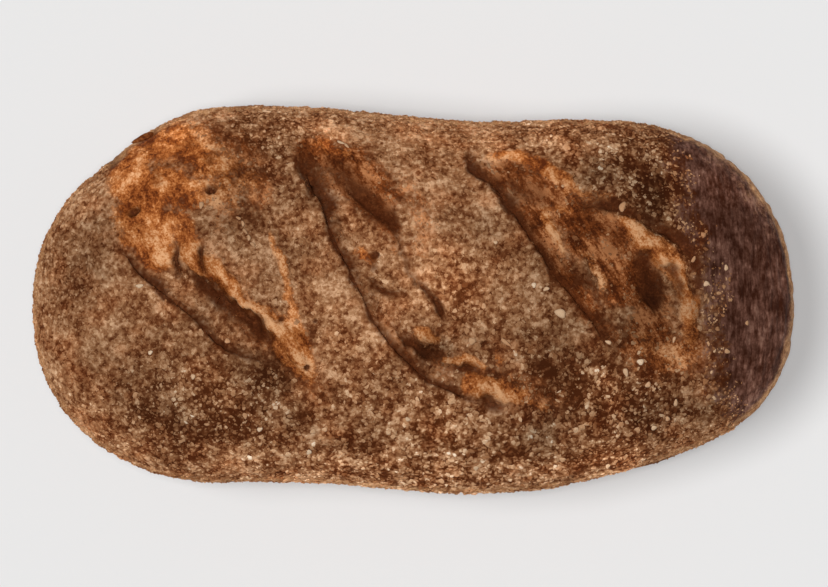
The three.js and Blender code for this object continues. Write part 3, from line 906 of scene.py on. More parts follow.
for hole_x, hole_y, half_length, half_width, depth in AIR_HOLES:
    away_x, away_y = crown_x - hole_x, crown_y - hole_y
    lengthways = (away_x * math.cos(AIR_HOLE_TURN) + away_y * math.sin(AIR_HOLE_TURN)) / half_length
    across = (away_y * math.cos(AIR_HOLE_TURN) - away_x * math.sin(AIR_HOLE_TURN)) / half_width
    hollow = np.exp(-((lengthways**2 + across**2) ** 2))
    relief -= depth * hollow
    # Each air hole is painted dark inside: painted shade
    dark = np.maximum(dark, hollow)
relief *= on_crown
dark *= on_crown
top *= on_crown
print("relief, mm: deepest", round(float(relief.min()), 1), "highest", round(float(relief.max()), 1))

# %% [markdown]
# Last the broad regions. The right end lay against something in the oven and is bare and dark. The bran
# lies coarse and thick low down and at the far right, and fine in the middle. The walls were pressed
# by the tin, so only a little bran shows on them. A narrow band round the widest line is painted pale
# tan, and the shoulder inside it paler: painted light on the loaf's edge.

# %% Patches of bran, tone and char
# Where the bare end begins, from near to far: [y, x]
BARE_LINE = [(-50, 132), (-43, 124), (-34, 119.5), (-12, 119), (2, 115.5), (20, 111.5), (42, 108), (60, 104)]
# [x, y, reach, amount]
COARSE_PATCHES = [
    (-20, -55, 40, 0.75),
    (35, -55, 40, 0.8),
    (80, -38, 30, 0.7),
    (-82, -42, 30, 0.6),
    (-54, -34, 10, 0.25),
    (75, 48, 26, 0.65),
    (95, 35, 18, 0.5),
    (-50, 60, 18, 0.3),
    (50, 60, 18, 0.3),
    (30, 5, 22, 0.3),
    (112, -20, 16, 0.5),
]
TONE_PATCHES = [
    (-92, 42, 18, 0.37),
    (-92, 12, 14, 0.2),
    (-100, -4, 12, 0.12),
    (-66, 46, 12, -0.2),
    (-68, 26, 8, -0.12),
    (-128, 24, 13, -0.22),
    (-108, 0, 8, 0.15),
    (-66, -16, 9, -0.25),
    (-88, -46, 13, -0.2),
    (-132, 8, 12, -0.2),
    (-91, 0, 8, 0.15),
    (-33, 0, 20, 0.28),
    (-30, 31, 10, 0.15),
    (-18, -36, 18, 0.1),
    (-30, -19, 9, 0.3),
    (-70, -31, 8, 0.25),
    (-30, -62, 9, 0.2),
    (-50, -46, 9, -0.18),
    (-11, -11, 9, 0.45),
    (-13, 22, 12, 0.42),
    (8, 42, 26, 0.3),
    (26, 29, 12, -0.15),
    (10, 4, 14, 0.7),
    (9, -17, 8, -0.55),
    (69, 0, 6, 0.25),
    (29, -32, 7, -0.15),
    (12, -47, 10, 0.25),
    (0, -60, 34, 0.08),
    (72, -60, 10, 0.5),
    (70, -31, 9, 0.4),
    (-30, 60, 6, 0.9),
    (-12, 61, 7, -0.2),
    (29, 57.5, 6, 0.7),
    (50, 60, 7, 0.5),
    (84, 46, 15, -0.34),
    (112, 42, 8, 0.5),
    (111, 28, 7, 0.25),
    (69, 45, 8, -0.2),
    (88, 31, 7, -0.25),
    (66, 22, 14, -0.1),
    (96, 12, 6, 0.25),
    (85, -3, 14, -0.5),
    (92, -14, 9, -0.15),
    (52, 13, 10, -0.12),
    (52, -20, 14, -0.28),
    (48, -45, 10, -0.3),
    (86, -46, 14, -0.34),
    (108, -42, 9, -0.45),
    (-52, -30, 12, -0.22),
    (-88, 60, 6, 0.65),
    (-65, 58, 4, 0.35),
]
# Where the crust between the flakes is nearly burnt
CHAR_PATCHES = [
    (84, 48, 14, 0.4),
    (98, 36, 15, 0.65),
    (106, 20, 10, 0.5),
    (74, -40, 18, 0.35),
    (92, -30, 14, 0.4),
    (54, -30, 12, 0.4),
    (-96, -42, 18, 0.6),
    (-70, -42, 14, 0.6),
    (-52, -31, 9, 0.45),
    (-122, 4, 12, 0.3),
    (-52, 58, 12, 0.5),
    (-50, 42, 9, 0.4),
]
print("patches:", len(COARSE_PATCHES) + len(TONE_PATCHES) + len(CHAR_PATCHES))

# %% [markdown]
# Each region is a value from 0 to 1 for every point of the crust, except the tone, which multiplies the
# colours and is about 1. The marks of each step are where the region begins and where it is full: out
# along the crown, up the walls, or past the line of the bare end. Two steps with different marks, added
# up, give a region a soft border with a sharper one inside it.

# %% Regions of the crust
# How much paler the steep shoulder is painted than the crown's top: painted light
SHOULDER_LIGHT = 0.5


def chance_here(size, seed):
    """Chance patches over the whole crust."""
    return cloud(crown_x, crown_y, size, seed)


past_line = crown_x + 4 * chance_here(9, 7) + 2 * chance_here(3.5, 13)
past_line -= np.interp(crown_y, *np.array(BARE_LINE).T)
bare = 0.55 * step(past_line, -26, -4) + 0.45 * step(past_line, -6, 3)
wall = 1 - step(level, 50, 56)
# Painted highlight: a narrow pale band at the widest line, and a faint wider one near the edge above the bare
# end
rim = step(share_out + 0.008 * chance_here(4, 12), 0.96, 0.995) * step(level, 54, 60)
rim_light_band = 0.2 * step(share_out, 0.84, 0.98) * step(crown_y, 2, 30) * step(past_line, -4, 4) * on_crown
rim = np.maximum(rim, rim_light_band)
coarse = np.clip(patched(COARSE_PATCHES) + 0.15 * chance_here(12, 8), 0, 1)
tone = 1 + patched(TONE_PATCHES) + 0.12 * chance_here(13, 9) + 0.1 * chance_here(4.5, 16)
# The shoulder is painted paler towards the widest line: painted light
tone += SHOULDER_LIGHT * step(share_out, 0.7, 1.0) * on_crown
# Paler tone is held back under the painted shade
tone = np.where(tone > 1, 1 + (tone - 1) * (1 - dark), tone)
char = np.clip(patched(CHAR_PATCHES) * (1 + 0.6 * chance_here(9, 14)), 0, 1)
print("bare share:", round(float((bare > 0.5).mean()), 3), "tone:", tone.min().round(2), tone.max().round(2))

# %% [markdown]
# Bran sticks to damp dough before it is baked. So it is missing wherever the loaf tore open later, it
# thins out at the bare end, and gaps open in it where the coat is thickest.

# %% Where bran lies
# The share of the bran that is left on the walls
WALL_COVER = 0.12

thinning = 0.35 * step(past_line, -22, -6) + 0.65 * step(past_line, -8, 2)
# Bran is also left out under the painted shade of the grooves and holes
scant = np.maximum.reduce([1.5 * torn, 0.85 * red, 1.05 * dark, thinning])
gaps = step(chance_here(3.2, 10) + 0.5 * chance_here(7, 11), -0.1, 0.75)
cover = np.clip(1 - scant - 0.6 * gaps * np.maximum(coarse, char), 0, 1)
cover *= (WALL_COVER + (1 - WALL_COVER) * on_crown) * step(level, 2, 6)
fine_cover = cover * (1 - 0.6 * coarse)
print("share with bran:", round(float((cover > 0.5).mean()), 2))

# %% [markdown]
# ## Fine grain, by a geometry tree
# The relief so far has nothing finer than a few millimetres. A Geometry Nodes tree adds the grain: bumps
# under the bran, stretched strands in the torn bellies, wrinkles round the bare end and faint pits on
# the walls that the tin pressed. It only moves points along their normals, by noise, and reads the
# regions as attributes. Sizes are inputs of the tree, so each can be tried without touching the nodes.

# %% A geometry tree with named inputs
FLOAT, INT = "NodeSocketFloat", "NodeSocketInt"
STRING, MATERIAL = "NodeSocketString", "NodeSocketMaterial"
# How deep the flakes sit in the crust
BRAN_ROOM = 0.3


def geometry_tree(name, inputs):
    """An empty geometry tree with named inputs: its nodes, and the identifier of each input."""
    tree = bpy.data.node_groups.new(name, "GeometryNodeTree")
    tree.interface.new_socket("Geometry", in_out="OUTPUT", socket_type="NodeSocketGeometry")
    keys = {}
    for label, kind in {"Geometry": "NodeSocketGeometry", **inputs}.items():
        socket = tree.interface.new_socket(label, in_out="INPUT", socket_type=kind)
        keys[label] = socket.identifier
    return Nodes(tree), keys


def applied(carrier):
    """The plain mesh that an object's modifiers make. It keeps the object's name, and the object goes."""
    evaluated = carrier.evaluated_get(bpy.context.evaluated_depsgraph_get())
    made = bpy.data.meshes.new_from_object(evaluated)
    made.name = carrier.name
    bpy.data.objects.remove(carrier)
    return made


def grow(name, mesh, nodes, keys, values):
    """The plain mesh that a geometry tree makes from another mesh."""
    carrier = put(name, mesh)
    modifier = carrier.modifiers.new("tree", "NODES")
    modifier.node_group = nodes.tree
    for label, value in values.items():
        modifier[keys[label]] = value
    return applied(carrier)


def store(mesh, fields):
    """Point attributes on a mesh, one for each named array."""
    for name, values in fields.items():
        attribute = mesh.attributes.new(name, "FLOAT", "POINT")
        attribute.data.foreach_set("value", values.astype(np.float32))


sunk = relief - BRAN_ROOM * cover
carved_mesh = mesh_from("carved_crust", plan - outline_centre + normals * sunk[:, None], triangles)
store(carved_mesh, {"torn": torn, "red": red, "dark": dark, "top": top, "bare": bare, "wall": wall})
store(carved_mesh, {"rim": rim, "char": char, "coarse": coarse, "tone": tone, "cover": cover})
store(carved_mesh, {"coarse_cover": cover * coarse, "fine_cover": fine_cover})
print("attributes:", [a.name for a in carved_mesh.attributes if a.data_type == "FLOAT"])

# %% [markdown]
# The tree itself: four noises, each times the region it belongs to and the height given for it. Their
# sum moves each point along its normal. The base has to stay flat on the board, so nothing moves there.

# %% Grain tree
# Each kind of grain and its height
GRAIN_HEIGHTS = {"Bran bumps": 0.7, "Torn strands": 0.9, "Bare wrinkles": 0.7, "Wall pits": 0.35}
grain, grain_keys = geometry_tree("crust_grain", dict.fromkeys(GRAIN_HEIGHTS, FLOAT))
grain_given = grain.add("NodeGroupInput")
point = grain.add("GeometryNodeInputPosition")
normal = grain.add("GeometryNodeInputNormal")

bran_bumps = grain.noise(point, 2.4, 2.0) * 2 - 1
strands = grain.noise(grain.stretched(point, 7, 2.2), 2.2, 2.0, 0.6) * 2 - 1
wrinkles = grain.noise(grain.times(point, (1, 0.22, 0.6)), 2.2, 1.5) * 2 - 1
pits = grain.noise(point, 3.2, 2.0, 0.6) * 2 - 1
open_crumb = grain.field("torn") + grain.field("red") * 0.9 + grain.field("dark") * 0.35
moved_by = bran_bumps * grain.field("cover") * grain.other(grain_given, "Bran bumps")
moved_by = moved_by + strands * open_crumb * grain.other(grain_given, "Torn strands")
moved_by = moved_by + wrinkles * grain.field("bare") * grain.other(grain_given, "Bare wrinkles")
moved_by = moved_by + pits * grain.field("wall") * grain.other(grain_given, "Wall pits")
base_stays = grain.spread(grain.along(point, (0, 0, 1)), 0.2 * MM, 3 * MM)
offset = grain.scaled(normal, moved_by * base_stays)
moved = grain.add("GeometryNodeSetPosition", None, {"Geometry": grain_given, "Offset": offset})
grain.add("NodeGroupOutput", None, {0: moved})
grain_values = {label: height * MM for label, height in GRAIN_HEIGHTS.items()}
grained_mesh = grow("grained_crust", carved_mesh, grain, grain_keys, grain_values)
print("grained crust, triangles:", len(grained_mesh.polygons))

# %% [markdown]
# The lattice has many more triangles than the walls and the base need. Decimate joins those that lie
# flat and keeps those of the cracks, and it carries the attributes along.

# %% Thin the mesh out
MOST_TRIANGLES = 192_000
thick = put("crust", grained_mesh)
thinner = thick.modifiers.new("thinner", "DECIMATE")
thinner.ratio = min(1.0, MOST_TRIANGLES / len(grained_mesh.polygons))
crust_mesh = applied(thick)
print("crust, triangles:", len(crust_mesh.polygons))

# %% [markdown]
# ## The crust's material
# One material paints every region of the crust. An image could hold the colours, but it would be blurred
# from near by and would need the mesh unwrapped. Noise has neither trouble. These are the patterns: grit,
# specks, clumps and patches of rising size, strands along the scores, streaks round the end, and uneven
# cells like pressed flakes.

# %% Patterns of the crust
GRIT_SIZE, SPECK_SIZE, CLUMP_SIZE, PATCH_SIZE, BROAD_SIZE = 0.55, 0.9, 1.9, 3.5, 11
CELL_SIZE, CELL_SHAKE = 1.25, 0.8
crust_paint, paint = new_material("baked_crust")
spot = paint.spot()
grit = paint.noise(spot, GRIT_SIZE, 2.0, 0.7)
speck = paint.noise(spot, SPECK_SIZE, 3.0, 0.6)
clump = paint.noise(spot, CLUMP_SIZE, 1.0, 0.5)
patch = paint.noise(spot, PATCH_SIZE, 3.0, 0.6)
broad = paint.noise(spot, BROAD_SIZE, 3.0, 0.55)
strand = paint.noise(paint.stretched(spot, 8, 1.9), 1.9, 3.0, 0.65)
streak = paint.noise(paint.times(spot, (1, 0.24, 0.6)), 1.3, 3.0, 0.65)

shake_by = paint.scaled(paint.noise(spot, 1.2, 2.0, 0.5, out=1), CELL_SHAKE * MM)
shaken = paint.vector("ADD", {0: spot, 1: shake_by})
cell_values = {"Vector": shaken, "Scale": 1 / (CELL_SIZE * MM)}
cell_colour = paint.add("ShaderNodeTexVoronoi", None, cell_values, out=1)
cell_shade = paint.along(cell_colour, (0.6, 0.4, 0))
print("pattern nodes:", len(paint.tree.nodes))

# %% [markdown]
# Each region has a colour ramp of its own, from its darkest to its palest crust, and a sum of patterns
# picks the place on it. The sum decides the region's character: the bellies are streaked by the strands,
# and the bran's ground is mottled by clumps and patches.

# %% Colours of each region
clump_shade = (clump - 0.5) * (1.0 - paint.mask("coarse") * 0.2)
patch_shade = (patch - 0.5) * (paint.mask("coarse") * 1.5 + 0.25)
broad_shade = (broad - 0.5) * (paint.mask("coarse") * 0.4 + 0.9)
dust_shade = (cell_shade - 0.5) * 0.3 + (speck - 0.5) * 0.35 + clump_shade + (patch_shade + broad_shade)
dust = paint.ramp(
    dust_shade + 0.5 - paint.mask("coarse") * 0.16 - paint.mask("char") * 0.35,
    [
        (0.08, tint(70, 32, 10)),
        (0.3, tint(97, 54, 28)),
        (0.52, tint(139, 96, 63)),
        (0.8, tint(188, 148, 114)),
    ],
)
rough_shade = (speck - 0.5) * 0.9 + (grit - 0.5) * 0.6 + (patch - 0.5) * 0.8
# The tops of the beads are painted paler here: a painted highlight
orange = paint.ramp(
    (strand - 0.5) * 0.9 + rough_shade + (broad - 0.5) * 1.7 + paint.mask("top") * 0.28 + 0.42,
    [
        (0.1, tint(84, 36, 11)),
        (0.32, tint(130, 67, 26)),
        (0.55, tint(173, 105, 54)),
        (0.85, tint(214, 160, 114)),
    ],
)
russet = paint.ramp(
    (strand - 0.5) * 1.5 + rough_shade + (broad - 0.5) * 1.8 + 0.46,
    [(0.15, tint(68, 28, 7)), (0.5, tint(117, 60, 25)), (0.85, tint(180, 118, 74))],
)
bark = paint.ramp(
    (streak - 0.5) * 1.5 + (speck - 0.5) * 0.4 + (patch - 0.5) * 0.9 + (broad - 0.5) * 1.2 + 0.49,
    [(0.2, tint(50, 22, 10)), (0.45, tint(72, 43, 32)), (0.66, tint(95, 62, 50)), (0.9, tint(124, 90, 75))],
)
tin_side = paint.ramp(
    patch * 0.5 + broad * 0.5 + cell_shade * 0.18 - 0.05,
    [(0.3, tint(92, 51, 25)), (0.5, tint(124, 75, 41)), (0.72, tint(152, 100, 60))],
)
# The colour of the painted highlight round the edge
rim_light_colour = paint.ramp(
    (speck - 0.5) * 0.9 + (patch - 0.5) * 0.9 + 0.5,
    [(0.25, tint(112, 68, 38)), (0.5, tint(170, 122, 80)), (0.75, tint(208, 162, 116))],
)
# The colour of the painted shade in the cracks, trenches and holes
painted_shade_colour = paint.ramp(
    rough_shade + 0.45,
    [(0.2, tint(60, 25, 6)), (0.5, tint(75, 34, 12)), (0.8, tint(105, 55, 25))],
)
print("nodes with the colours:", len(paint.tree.nodes))

# %% [markdown]
# The attributes choose between the colours. They are only as sharp as the mesh, so noise is added to
# them before they are cut, which gives each border a frayed edge. The shader is a plain dull one, because
# dry crust hardly shines: the torn bellies and the bare end are only a little smoother.

# %% Crust material
DULL = 0.06


def warmed(nodes, place, colour):
    """A colour that is warmer in chance patches."""
    warmth = nodes.spread(nodes.noise(place, 13, 3.0, 0.6), 0.48, 0.7, 0.0, 0.9)
    return nodes.blend(warmth, colour, nodes.times(colour, (1.08, 0.9, 0.77)))


fray = (speck - 0.5) * 0.6 + (patch - 0.5) * 0.8 + (broad - 0.5) * 0.6
# [region, share of the fray, low and high mark, most of it, its colour], from the lowest layer up
LAYERS = [
    ("red", 1.0, 0.25, 0.75, 1.0, russet),
    ("torn", 1.0, 0.3, 0.7, 1.0, orange),
    ("wall", 0.6, 0.35, 0.65, 1.0, tin_side),
    ("bare", 1.0, 0.35, 0.65, 1.0, bark),
    # The last two layers are painted light: the highlight round the edge and the shade in cracks and holes
    ("rim", 0.6, 0.15, 0.85, 0.8, rim_light_colour),
    ("dark", 0.7, 0.15, 0.85, 0.95, painted_shade_colour),
]
colour = warmed(paint, spot, dust)
for region, fraying, low, high, most, layer in LAYERS:
    amount = paint.spread(paint.mask(region) + fray * fraying, low, high, 0.0, most)
    if region == "bare":
        amount = amount * (1 - paint.mask("wall"))
    colour = paint.blend(amount, colour, layer)

smoother = paint.mask("torn") * 0.22 + paint.mask("bare") * 0.3 + paint.mask("wall") * 0.15
grooved = strand * paint.mask("torn") * 0.5 + streak * paint.mask("bare") * 0.6
paint.finish(
    {
        "Base Color": paint.scaled(colour, paint.mask("tone")),
        "Roughness": 0.9 - smoother + (patch - 0.5) * 0.2,
        "Normal": paint.bump(speck * 0.35 + cell_shade * 0.25 + grooved, 0.7, 0.35),
        "Specular IOR Level": DULL,
    }
)
crust_mesh.materials.clear()
crust_mesh.materials.append(crust_paint)
print("nodes in the crust's material:", len(paint.tree.nodes))

# %% [markdown]
# ## Bran flakes
# Bran is the skin of the grain, cut into thin flakes of one to two millimetres. They could be particles,
# but an export drops those. A Geometry Nodes tree scatters points over the crust instead, puts a small
# lens on each, turns and tilts it at random and makes it real. Each flake keeps a shade from 0, dark, to
# 1, pale, and noise bends every one a little differently.

# %% Scatter tree: its inputs
scatter, scatter_keys = geometry_tree(
    "bran_scatter",
    {
        "Where": STRING,
        "Closest": FLOAT,
        "Most per square metre": FLOAT,
        "Sides": INT,
        "Smallest": FLOAT,
        "Largest": FLOAT,
        "Thickness": FLOAT,
        "Tilt": FLOAT,
        "Darkest": FLOAT,
        "Palest": FLOAT,
        "Clumping": FLOAT,
        "Bend": FLOAT,
        "Seed": INT,
        "Finish": MATERIAL,
    },
)
scatter_given = scatter.add("NodeGroupInput")


def wish(label):
    """One of the scatter tree's inputs."""
    return scatter.other(scatter_given, label)


def chance(low, high, seed_step):
    """A random number for each point, different for each seed step."""
    seed = wish("Seed") + seed_step
    return scatter.add("FunctionNodeRandomValue", None, {2: low, 3: high, 8: seed}, out=1)


print("inputs of the scatter tree:", list(scatter_keys))

# %% [markdown]
# First come the points, never closer together than a flake needs, and only where the attribute named in
# Where allows them. A flake's shade is partly its own chance and partly that of its neighbourhood, with
# the same noises as the crust, so that pale flakes lie on pale ground.

# %% Scatter tree: points and shades
where = scatter.field(wish("Where"))
dots = scatter.add(
    "GeometryNodeDistributePointsOnFaces",
    {"distribute_method": "POISSON"},
    {
        "Mesh": scatter_given,
        "Distance Min": wish("Closest"),
        "Density Max": wish("Most per square metre"),
        "Density Factor": where,
        "Seed": wish("Seed"),
    },
)
flake_spot = scatter.add("GeometryNodeInputPosition")
own_part = (chance(wish("Darkest"), wish("Palest"), 1) - 0.5) * 0.34
clump_part = (scatter.noise(flake_spot, CLUMP_SIZE, 1.0, 0.5) - 0.5) * wish("Clumping")
patch_part = (scatter.noise(flake_spot, PATCH_SIZE, 3.0, 0.6) - 0.5) * (scatter.field("coarse") * 1.5 + 0.25)
broad_part = (scatter.noise(flake_spot, BROAD_SIZE, 3.0, 0.55) - 0.5) * (scatter.field("coarse") * 0.5 + 0.5)
# Flakes are a little darker on the russet crust, and much darker under the painted shade
browned_and_shaded = scatter.field("red") * 0.1 + scatter.field("dark") * 0.4
flake_shade = own_part + clump_part + (patch_part + broad_part) - browned_and_shaded + 0.5
shaded = scatter.add(
    "GeometryNodeStoreNamedAttribute",
    {"data_type": "FLOAT", "domain": "POINT"},
    {"Geometry": dots, "Name": "shade", "Value": flake_shade},
)
print("nodes up to the shades:", len(scatter.tree.nodes))

# %% [markdown]
# Then a lens goes on each point. It starts flat on the crust, is turned at random about the way out and
# tilted a little. Small flakes are the most common, so the chance that sets the size is squared.

# %% Scatter tree: flakes
tilt = wish("Tilt")
turns = {0: chance(tilt * -1, tilt, 2), 1: chance(tilt * -1, tilt, 3), 2: chance(0, 2 * math.pi, 4)}
turn_by = scatter.add("ShaderNodeCombineXYZ", None, turns)
rotate_by = scatter.add("FunctionNodeEulerToRotation", None, {"Euler": turn_by})
turned = scatter.add(
    "FunctionNodeRotateRotation",
    {"rotation_space": "LOCAL"},
    {"Rotation": scatter.other(dots, "Rotation"), "Rotate By": rotate_by},
)
skew = chance(0, 1, 5)
long_half = wish("Smallest") + (wish("Largest") - wish("Smallest")) * skew * skew
halves = {0: long_half, 1: long_half * chance(0.45, 0.9, 6), 2: wish("Thickness") * chance(0.7, 1.3, 7)}
half_sizes = scatter.add("ShaderNodeCombineXYZ", None, halves)
round_lens = {"Segments": wish("Sides"), "Rings": 2, "Radius": 1.0}
flakes = scatter.add(
    "GeometryNodeInstanceOnPoints",
    None,
    {
        "Points": shaded,
        "Instance": scatter.add("GeometryNodeMeshUVSphere", None, round_lens),
        "Rotation": turned,
        "Scale": half_sizes,
    },
)
real = scatter.add("GeometryNodeRealizeInstances", None, {0: flakes})
shake = scatter.noise(flake_spot, 1.1, 1.0, 0.5, out=1)
centred = scatter.vector("SUBTRACT", {0: shake, 1: (0.5, 0.5, 0.5)})
bend = scatter.scaled(centred, wish("Bend"))
bent = scatter.add("GeometryNodeSetPosition", None, {"Geometry": real, "Offset": bend})
dressed = scatter.add("GeometryNodeSetMaterial", None, {"Geometry": bent, "Material": wish("Finish")})
scatter.add("NodeGroupOutput", None, {0: dressed})
print("nodes in the scatter tree:", len(scatter.tree.nodes))

# %% [markdown]
# All bran has one material. The shade that each flake keeps picks its colour, from the brown outside of
# the grain to its floury inside. Fine grit makes the flakes uneven, and dry bran is dull.

# %% Bran material
bran_paint, husk = new_material("wheat_bran")
husk_spot = husk.spot()
husk_grit = husk.noise(husk_spot, 0.5, 2.0, 0.6)
bran_colour = husk.ramp(
    husk.mask("shade") + (husk_grit - 0.5) * 0.25,
    [
        (0.0, tint(78, 37, 13)),
        (0.25, tint(104, 59, 31)),
        (0.5, tint(145, 101, 67)),
        (0.75, tint(188, 148, 112)),
        (0.92, tint(212, 181, 148)),
        (1.0, tint(230, 208, 182)),
    ],
)
husk.finish(
    {
        "Base Color": husk.scaled(warmed(husk, husk_spot, bran_colour), husk.mask("tone")),
        "Roughness": husk.spread(husk_grit, 0.3, 0.7, 0.75, 0.95),
        "Normal": husk.bump(husk_grit, 0.5, 0.15),
        "Specular IOR Level": DULL,
    }
)
print("nodes in the bran's material:", len(husk.tree.nodes))

# %% [markdown]
# Four kinds of bran are scattered, each as one piece. The coarse pale flakes lie where the coat is
# thick, brown ones lie everywhere, and two finer kinds fill the gaps. The finer a kind is, the fewer
# faces its flakes have.

# %% Four kinds of bran
# [where, closest, per mm2, sides, smallest, largest, thickness, tilt in radians, darkest, palest, bend, seed]
BRAN_KINDS = {
    "coarse_bran": ("coarse_cover", 1.4, 0.55, 7, 0.7, 1.4, 0.34, 0.3, 0.5, 1.0, 1.6, 11),
    "brown_bran": ("cover", 1.5, 0.4, 7, 0.55, 1.1, 0.32, 0.32, 0.1, 0.8, 1.4, 12),
    "fine_bran": ("fine_cover", 0.9, 0.75, 5, 0.45, 0.85, 0.28, 0.3, 0.2, 0.85, 1.0, 13),
    "bran_dust": ("fine_cover", 0.8, 0.8, 4, 0.3, 0.55, 0.24, 0.4, 0.2, 0.85, 0.6, 14),
}
BRAN_CLUMPING = 0.85

bran_pieces = []
for name, (attribute, closest, per_mm2, sides, *form) in BRAN_KINDS.items():
    smallest, largest, thickness, tilted, darkest, palest, bending, seed = form
    kind_values = {
        "Where": attribute,
        "Closest": closest * MM,
        "Most per square metre": per_mm2 / MM**2,
        "Sides": sides,
        "Smallest": smallest * MM,
        "Largest": largest * MM,
        "Thickness": thickness * MM,
        "Tilt": tilted,
        "Darkest": darkest,
        "Palest": palest,
        "Clumping": BRAN_CLUMPING,
        "Bend": bending * MM,
        "Seed": seed,
        "Finish": bran_paint,
    }
    flake_mesh = grow(name, crust_mesh, scatter, scatter_keys, kind_values)
    bran_pieces.append(put(name, flake_mesh))
    print(name, "flakes:", len(flake_mesh.polygons) // (2 * sides), "triangles:", len(flake_mesh.polygons))

# %% [markdown]
# A few pieces stand out by themselves, so they are placed one by one: the one whole grain, the palest
# flakes and strips, and a chip of crust that has lifted at the far left edge. Each is a lens with an
# uneven edge. The flakes are draped: their heights come from the same function as the crust's own. The
# chip keeps one level, so it stands clear of the outline.

# %% Single flakes
# [x, y, half length, half width, half thickness, turn in degrees, shade]
SINGLE_FLAKES = [
    (54.0, -5.4, 2.5, 1.5, 0.8, -28, 0.84),
    (83.4, -23.2, 1.4, 1.1, 0.6, 20, 0.95),
    (78, -27, 1.0, 1.6, 0.6, 10, 0.85),
    (86.2, -31.6, 1.2, 1.0, 0.5, 60, 0.82),
    (71.6, -16, 1.3, 0.7, 0.5, -30, 0.88),
    (95.7, -15, 1.2, 0.6, 0.5, 70, 0.8),
    (88.6, -47.5, 1.1, 0.9, 0.5, 0, 0.9),
    (93.6, -44.2, 1.0, 0.8, 0.5, 40, 0.8),
    (96.5, -38.3, 1.3, 0.8, 0.5, 80, 0.8),
    (44.3, 4.9, 1.0, 0.9, 0.5, 50, 0.95),
    (48.8, 3.5, 1.2, 0.8, 0.5, 30, 0.85),
    (30.3, 20.5, 0.8, 0.7, 0.5, 0, 0.9),
    (76.8, 33.6, 1.9, 1.3, 0.7, 70, 0.72),
    (107.6, 5.4, 1.3, 0.9, 0.5, 30, 0.88),
    (115, 11.3, 1.1, 0.8, 0.4, 100, 0.85),
    (103, 14.5, 1.8, 0.6, 0.5, 60, 0.7),
    (122.8, -9, 1.0, 0.6, 0.4, 90, 0.7),
    (115.4, -19.4, 1.1, 0.9, 0.4, 0, 0.72),
    (21.7, -15.6, 1.3, 1.5, 0.6, 0, 0.74),
    (34, -16, 2.5, 0.7, 0.5, -35, 0.7),
    (-96, -19.8, 0.9, 0.8, 0.5, 20, 0.95),
    (-80.3, -28.6, 1.1, 0.8, 0.5, 70, 0.88),
    (-56, -48, 1.1, 0.8, 0.6, 40, 0.95),
    (-67.7, -15.5, 1.2, 0.9, 0.6, -20, 0.8),
    (-38, -56.4, 1.0, 0.9, 0.5, 80, 0.95),
    (-32.2, -48, 1.1, 0.8, 0.5, 20, 0.88),
    (-99.9, 4.6, 1.6, 0.7, 0.5, 10, 0.92),
    (-1.8, -44.2, 1.0, 0.8, 0.5, 0, 0.88),
    (23.3, -62.3, 1.0, 0.8, 0.5, 0, 0.88),
    (-77.3, 34.2, 0.9, 1.4, 0.5, 0, 0.72),
    (-63.6, 29.4, 1.0, 0.6, 0.4, -20, 0.66),
    (-62.0, 27.4, 1.2, 0.6, 0.4, -70, 0.72),
    (-61.2, 24.6, 1.3, 0.6, 0.4, -55, 0.64),
    (-59.8, 22.2, 1.1, 0.7, 0.4, -80, 0.74),
    (-58.4, 19.8, 1.3, 0.6, 0.4, -40, 0.68),
    (-26.4, 57.3, 1.4, 0.5, 0.4, -20, 0.88),
    (-24.2, 56.1, 1.1, 0.5, 0.4, -40, 0.8),
    (28.0, 48.6, 1.4, 0.5, 0.4, -64, 0.6),
    (29.4, 46.2, 1.2, 0.5, 0.4, -50, 0.56),
    (35.6, 39.4, 1.9, 0.5, 0.4, -50, 0.52),
]
# [x, y, half length, half width, half thickness, turn in degrees], and the level it keeps
LIFTED_CHIP = (-99.1, 59.3, 4.4, 1.3, 0.5, 22)
CHIP_LEVEL = 77
print("single flakes:", len(SINGLE_FLAKES))

# %% A lens with an uneven edge
LENS_SIDES, LENS_RINGS = 14, 4


def lens_triangles():
    """The three corners of each triangle of a lens: a pole, rings of points, the other pole."""
    here = np.arange(LENS_SIDES)
    after = (here + 1) % LENS_SIDES
    last = 1 + LENS_RINGS * LENS_SIDES
    rows = [np.stack([np.zeros_like(here), after + 1, here + 1], 1)]
    for ring in range(1, last - LENS_SIDES, LENS_SIDES):
        low, low_after, high_after = here + ring, after + ring, after + ring + LENS_SIDES
        rows.append(np.stack([low, low_after, high_after], 1))
        rows.append(np.stack([low, high_after, low + LENS_SIDES], 1))
    top_ring = last - LENS_SIDES
    rows.append(np.stack([here + top_ring, after + top_ring, np.full_like(here, last)], 1))
    return np.vstack(rows)


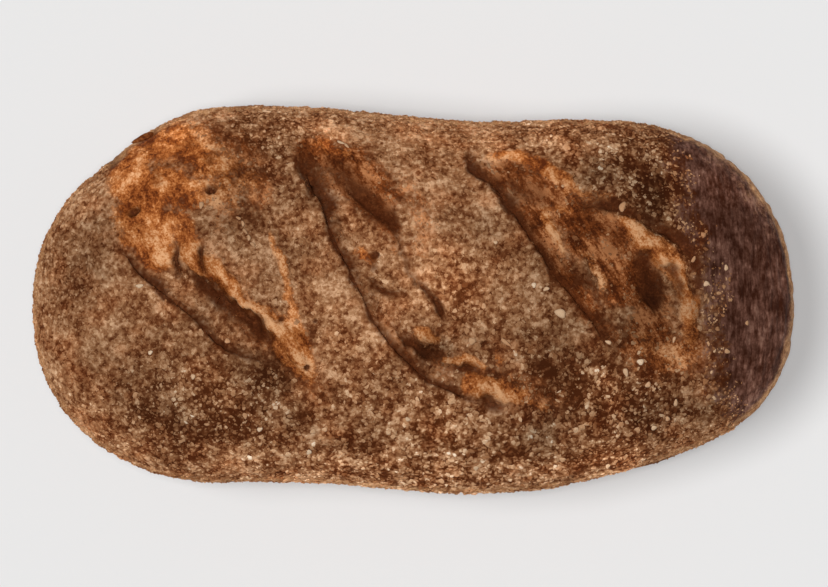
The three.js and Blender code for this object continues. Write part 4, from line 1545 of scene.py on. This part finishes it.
def lens_points(x, y, half_length, half_width, half_thickness, turn, luck):
    """The points of a lens with an uneven edge, over a plan point at height 0."""
    around = np.arange(LENS_SIDES) / LENS_SIDES * 2 * math.pi
    up = np.linspace(-math.pi / 2, math.pi / 2, LENS_RINGS + 2)[1:-1, None]
    first, second = luck.uniform(0, 6, 2)
    edge = np.cos(up) * (1 + 0.1 * np.sin(2 * around + first) + 0.12 * np.sin(3 * around + second))
    ring_points = [edge * np.cos(around), edge * np.sin(around), np.sin(up) + 0 * around]
    local = np.vstack([(0, 0, -1), np.stack(ring_points, -1).reshape(-1, 3), (0, 0, 1)])
    along_x, along_y, rise = (local * (half_length, half_width, half_thickness)).T
    cos_turn, sin_turn = math.cos(math.radians(turn)), math.sin(math.radians(turn))
    plan_x = x + along_x * cos_turn - along_y * sin_turn
    plan_y = y + along_x * sin_turn + along_y * cos_turn
    return np.stack([plan_x, plan_y, rise], 1)


one_lens = lens_triangles()
print("triangles of a lens:", len(one_lens))

# %% [markdown]
# A single flake lies on the crust as it is after the grooves are cut, so the relief of the nearest point
# is added to the crown's height. Points of the walls, which lie under the same plan points, don't count.

# %% Lay the flakes and the chip
# How far the middle of a flake lies above the crust
FLAKE_LIFT = 0.2
luck = np.random.default_rng(21)
off_crown = np.where(level < WIDEST_LEVEL, np.inf, 0)

single_points = []
for *form, _ in SINGLE_FLAKES:
    points = lens_points(*form, luck)
    nearest = np.argmin((crown_x - form[0]) ** 2 + (crown_y - form[1]) ** 2 + off_crown)
    points[:, 2] += crown_height(points[:, 0], points[:, 1]) + relief[nearest] + FLAKE_LIFT
    single_points.append(points)
lens_size = len(single_points[0])
many = np.vstack([one_lens + k * lens_size for k in range(len(single_points))])
single_mesh = mesh_from("single_flakes", np.vstack(single_points) - outline_centre, many)
shades = np.repeat([row[-1] for row in SINGLE_FLAKES], lens_size)
store(single_mesh, {"shade": shades, "tone": np.ones(len(shades))})
single_mesh.materials.append(bran_paint)
bran_pieces.append(put("single_flakes", single_mesh))

chip_points = lens_points(*LIFTED_CHIP, luck) + (0, 0, CHIP_LEVEL)
chip_mesh = mesh_from("lifted_chip", chip_points - outline_centre, one_lens)
whole = np.ones(len(chip_points))
# The chip is orange torn crust, painted half in shade
store(chip_mesh, {"torn": whole, "dark": 0.5 * whole, "tone": whole})
chip_mesh.materials.append(crust_paint)
chip = put("lifted_chip", chip_mesh)
print("triangles of the single flakes:", len(many))

# %% [markdown]
# ## Put it together
# Every piece rides on the loaf's one body. The crust stands for the solid, and the bran lies on it.

# %% Pieces
crust = put("crust", crust_mesh)
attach(crust, "root")
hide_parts("loaf")
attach(chip, "root")
for piece in bran_pieces:
    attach(piece, "root")
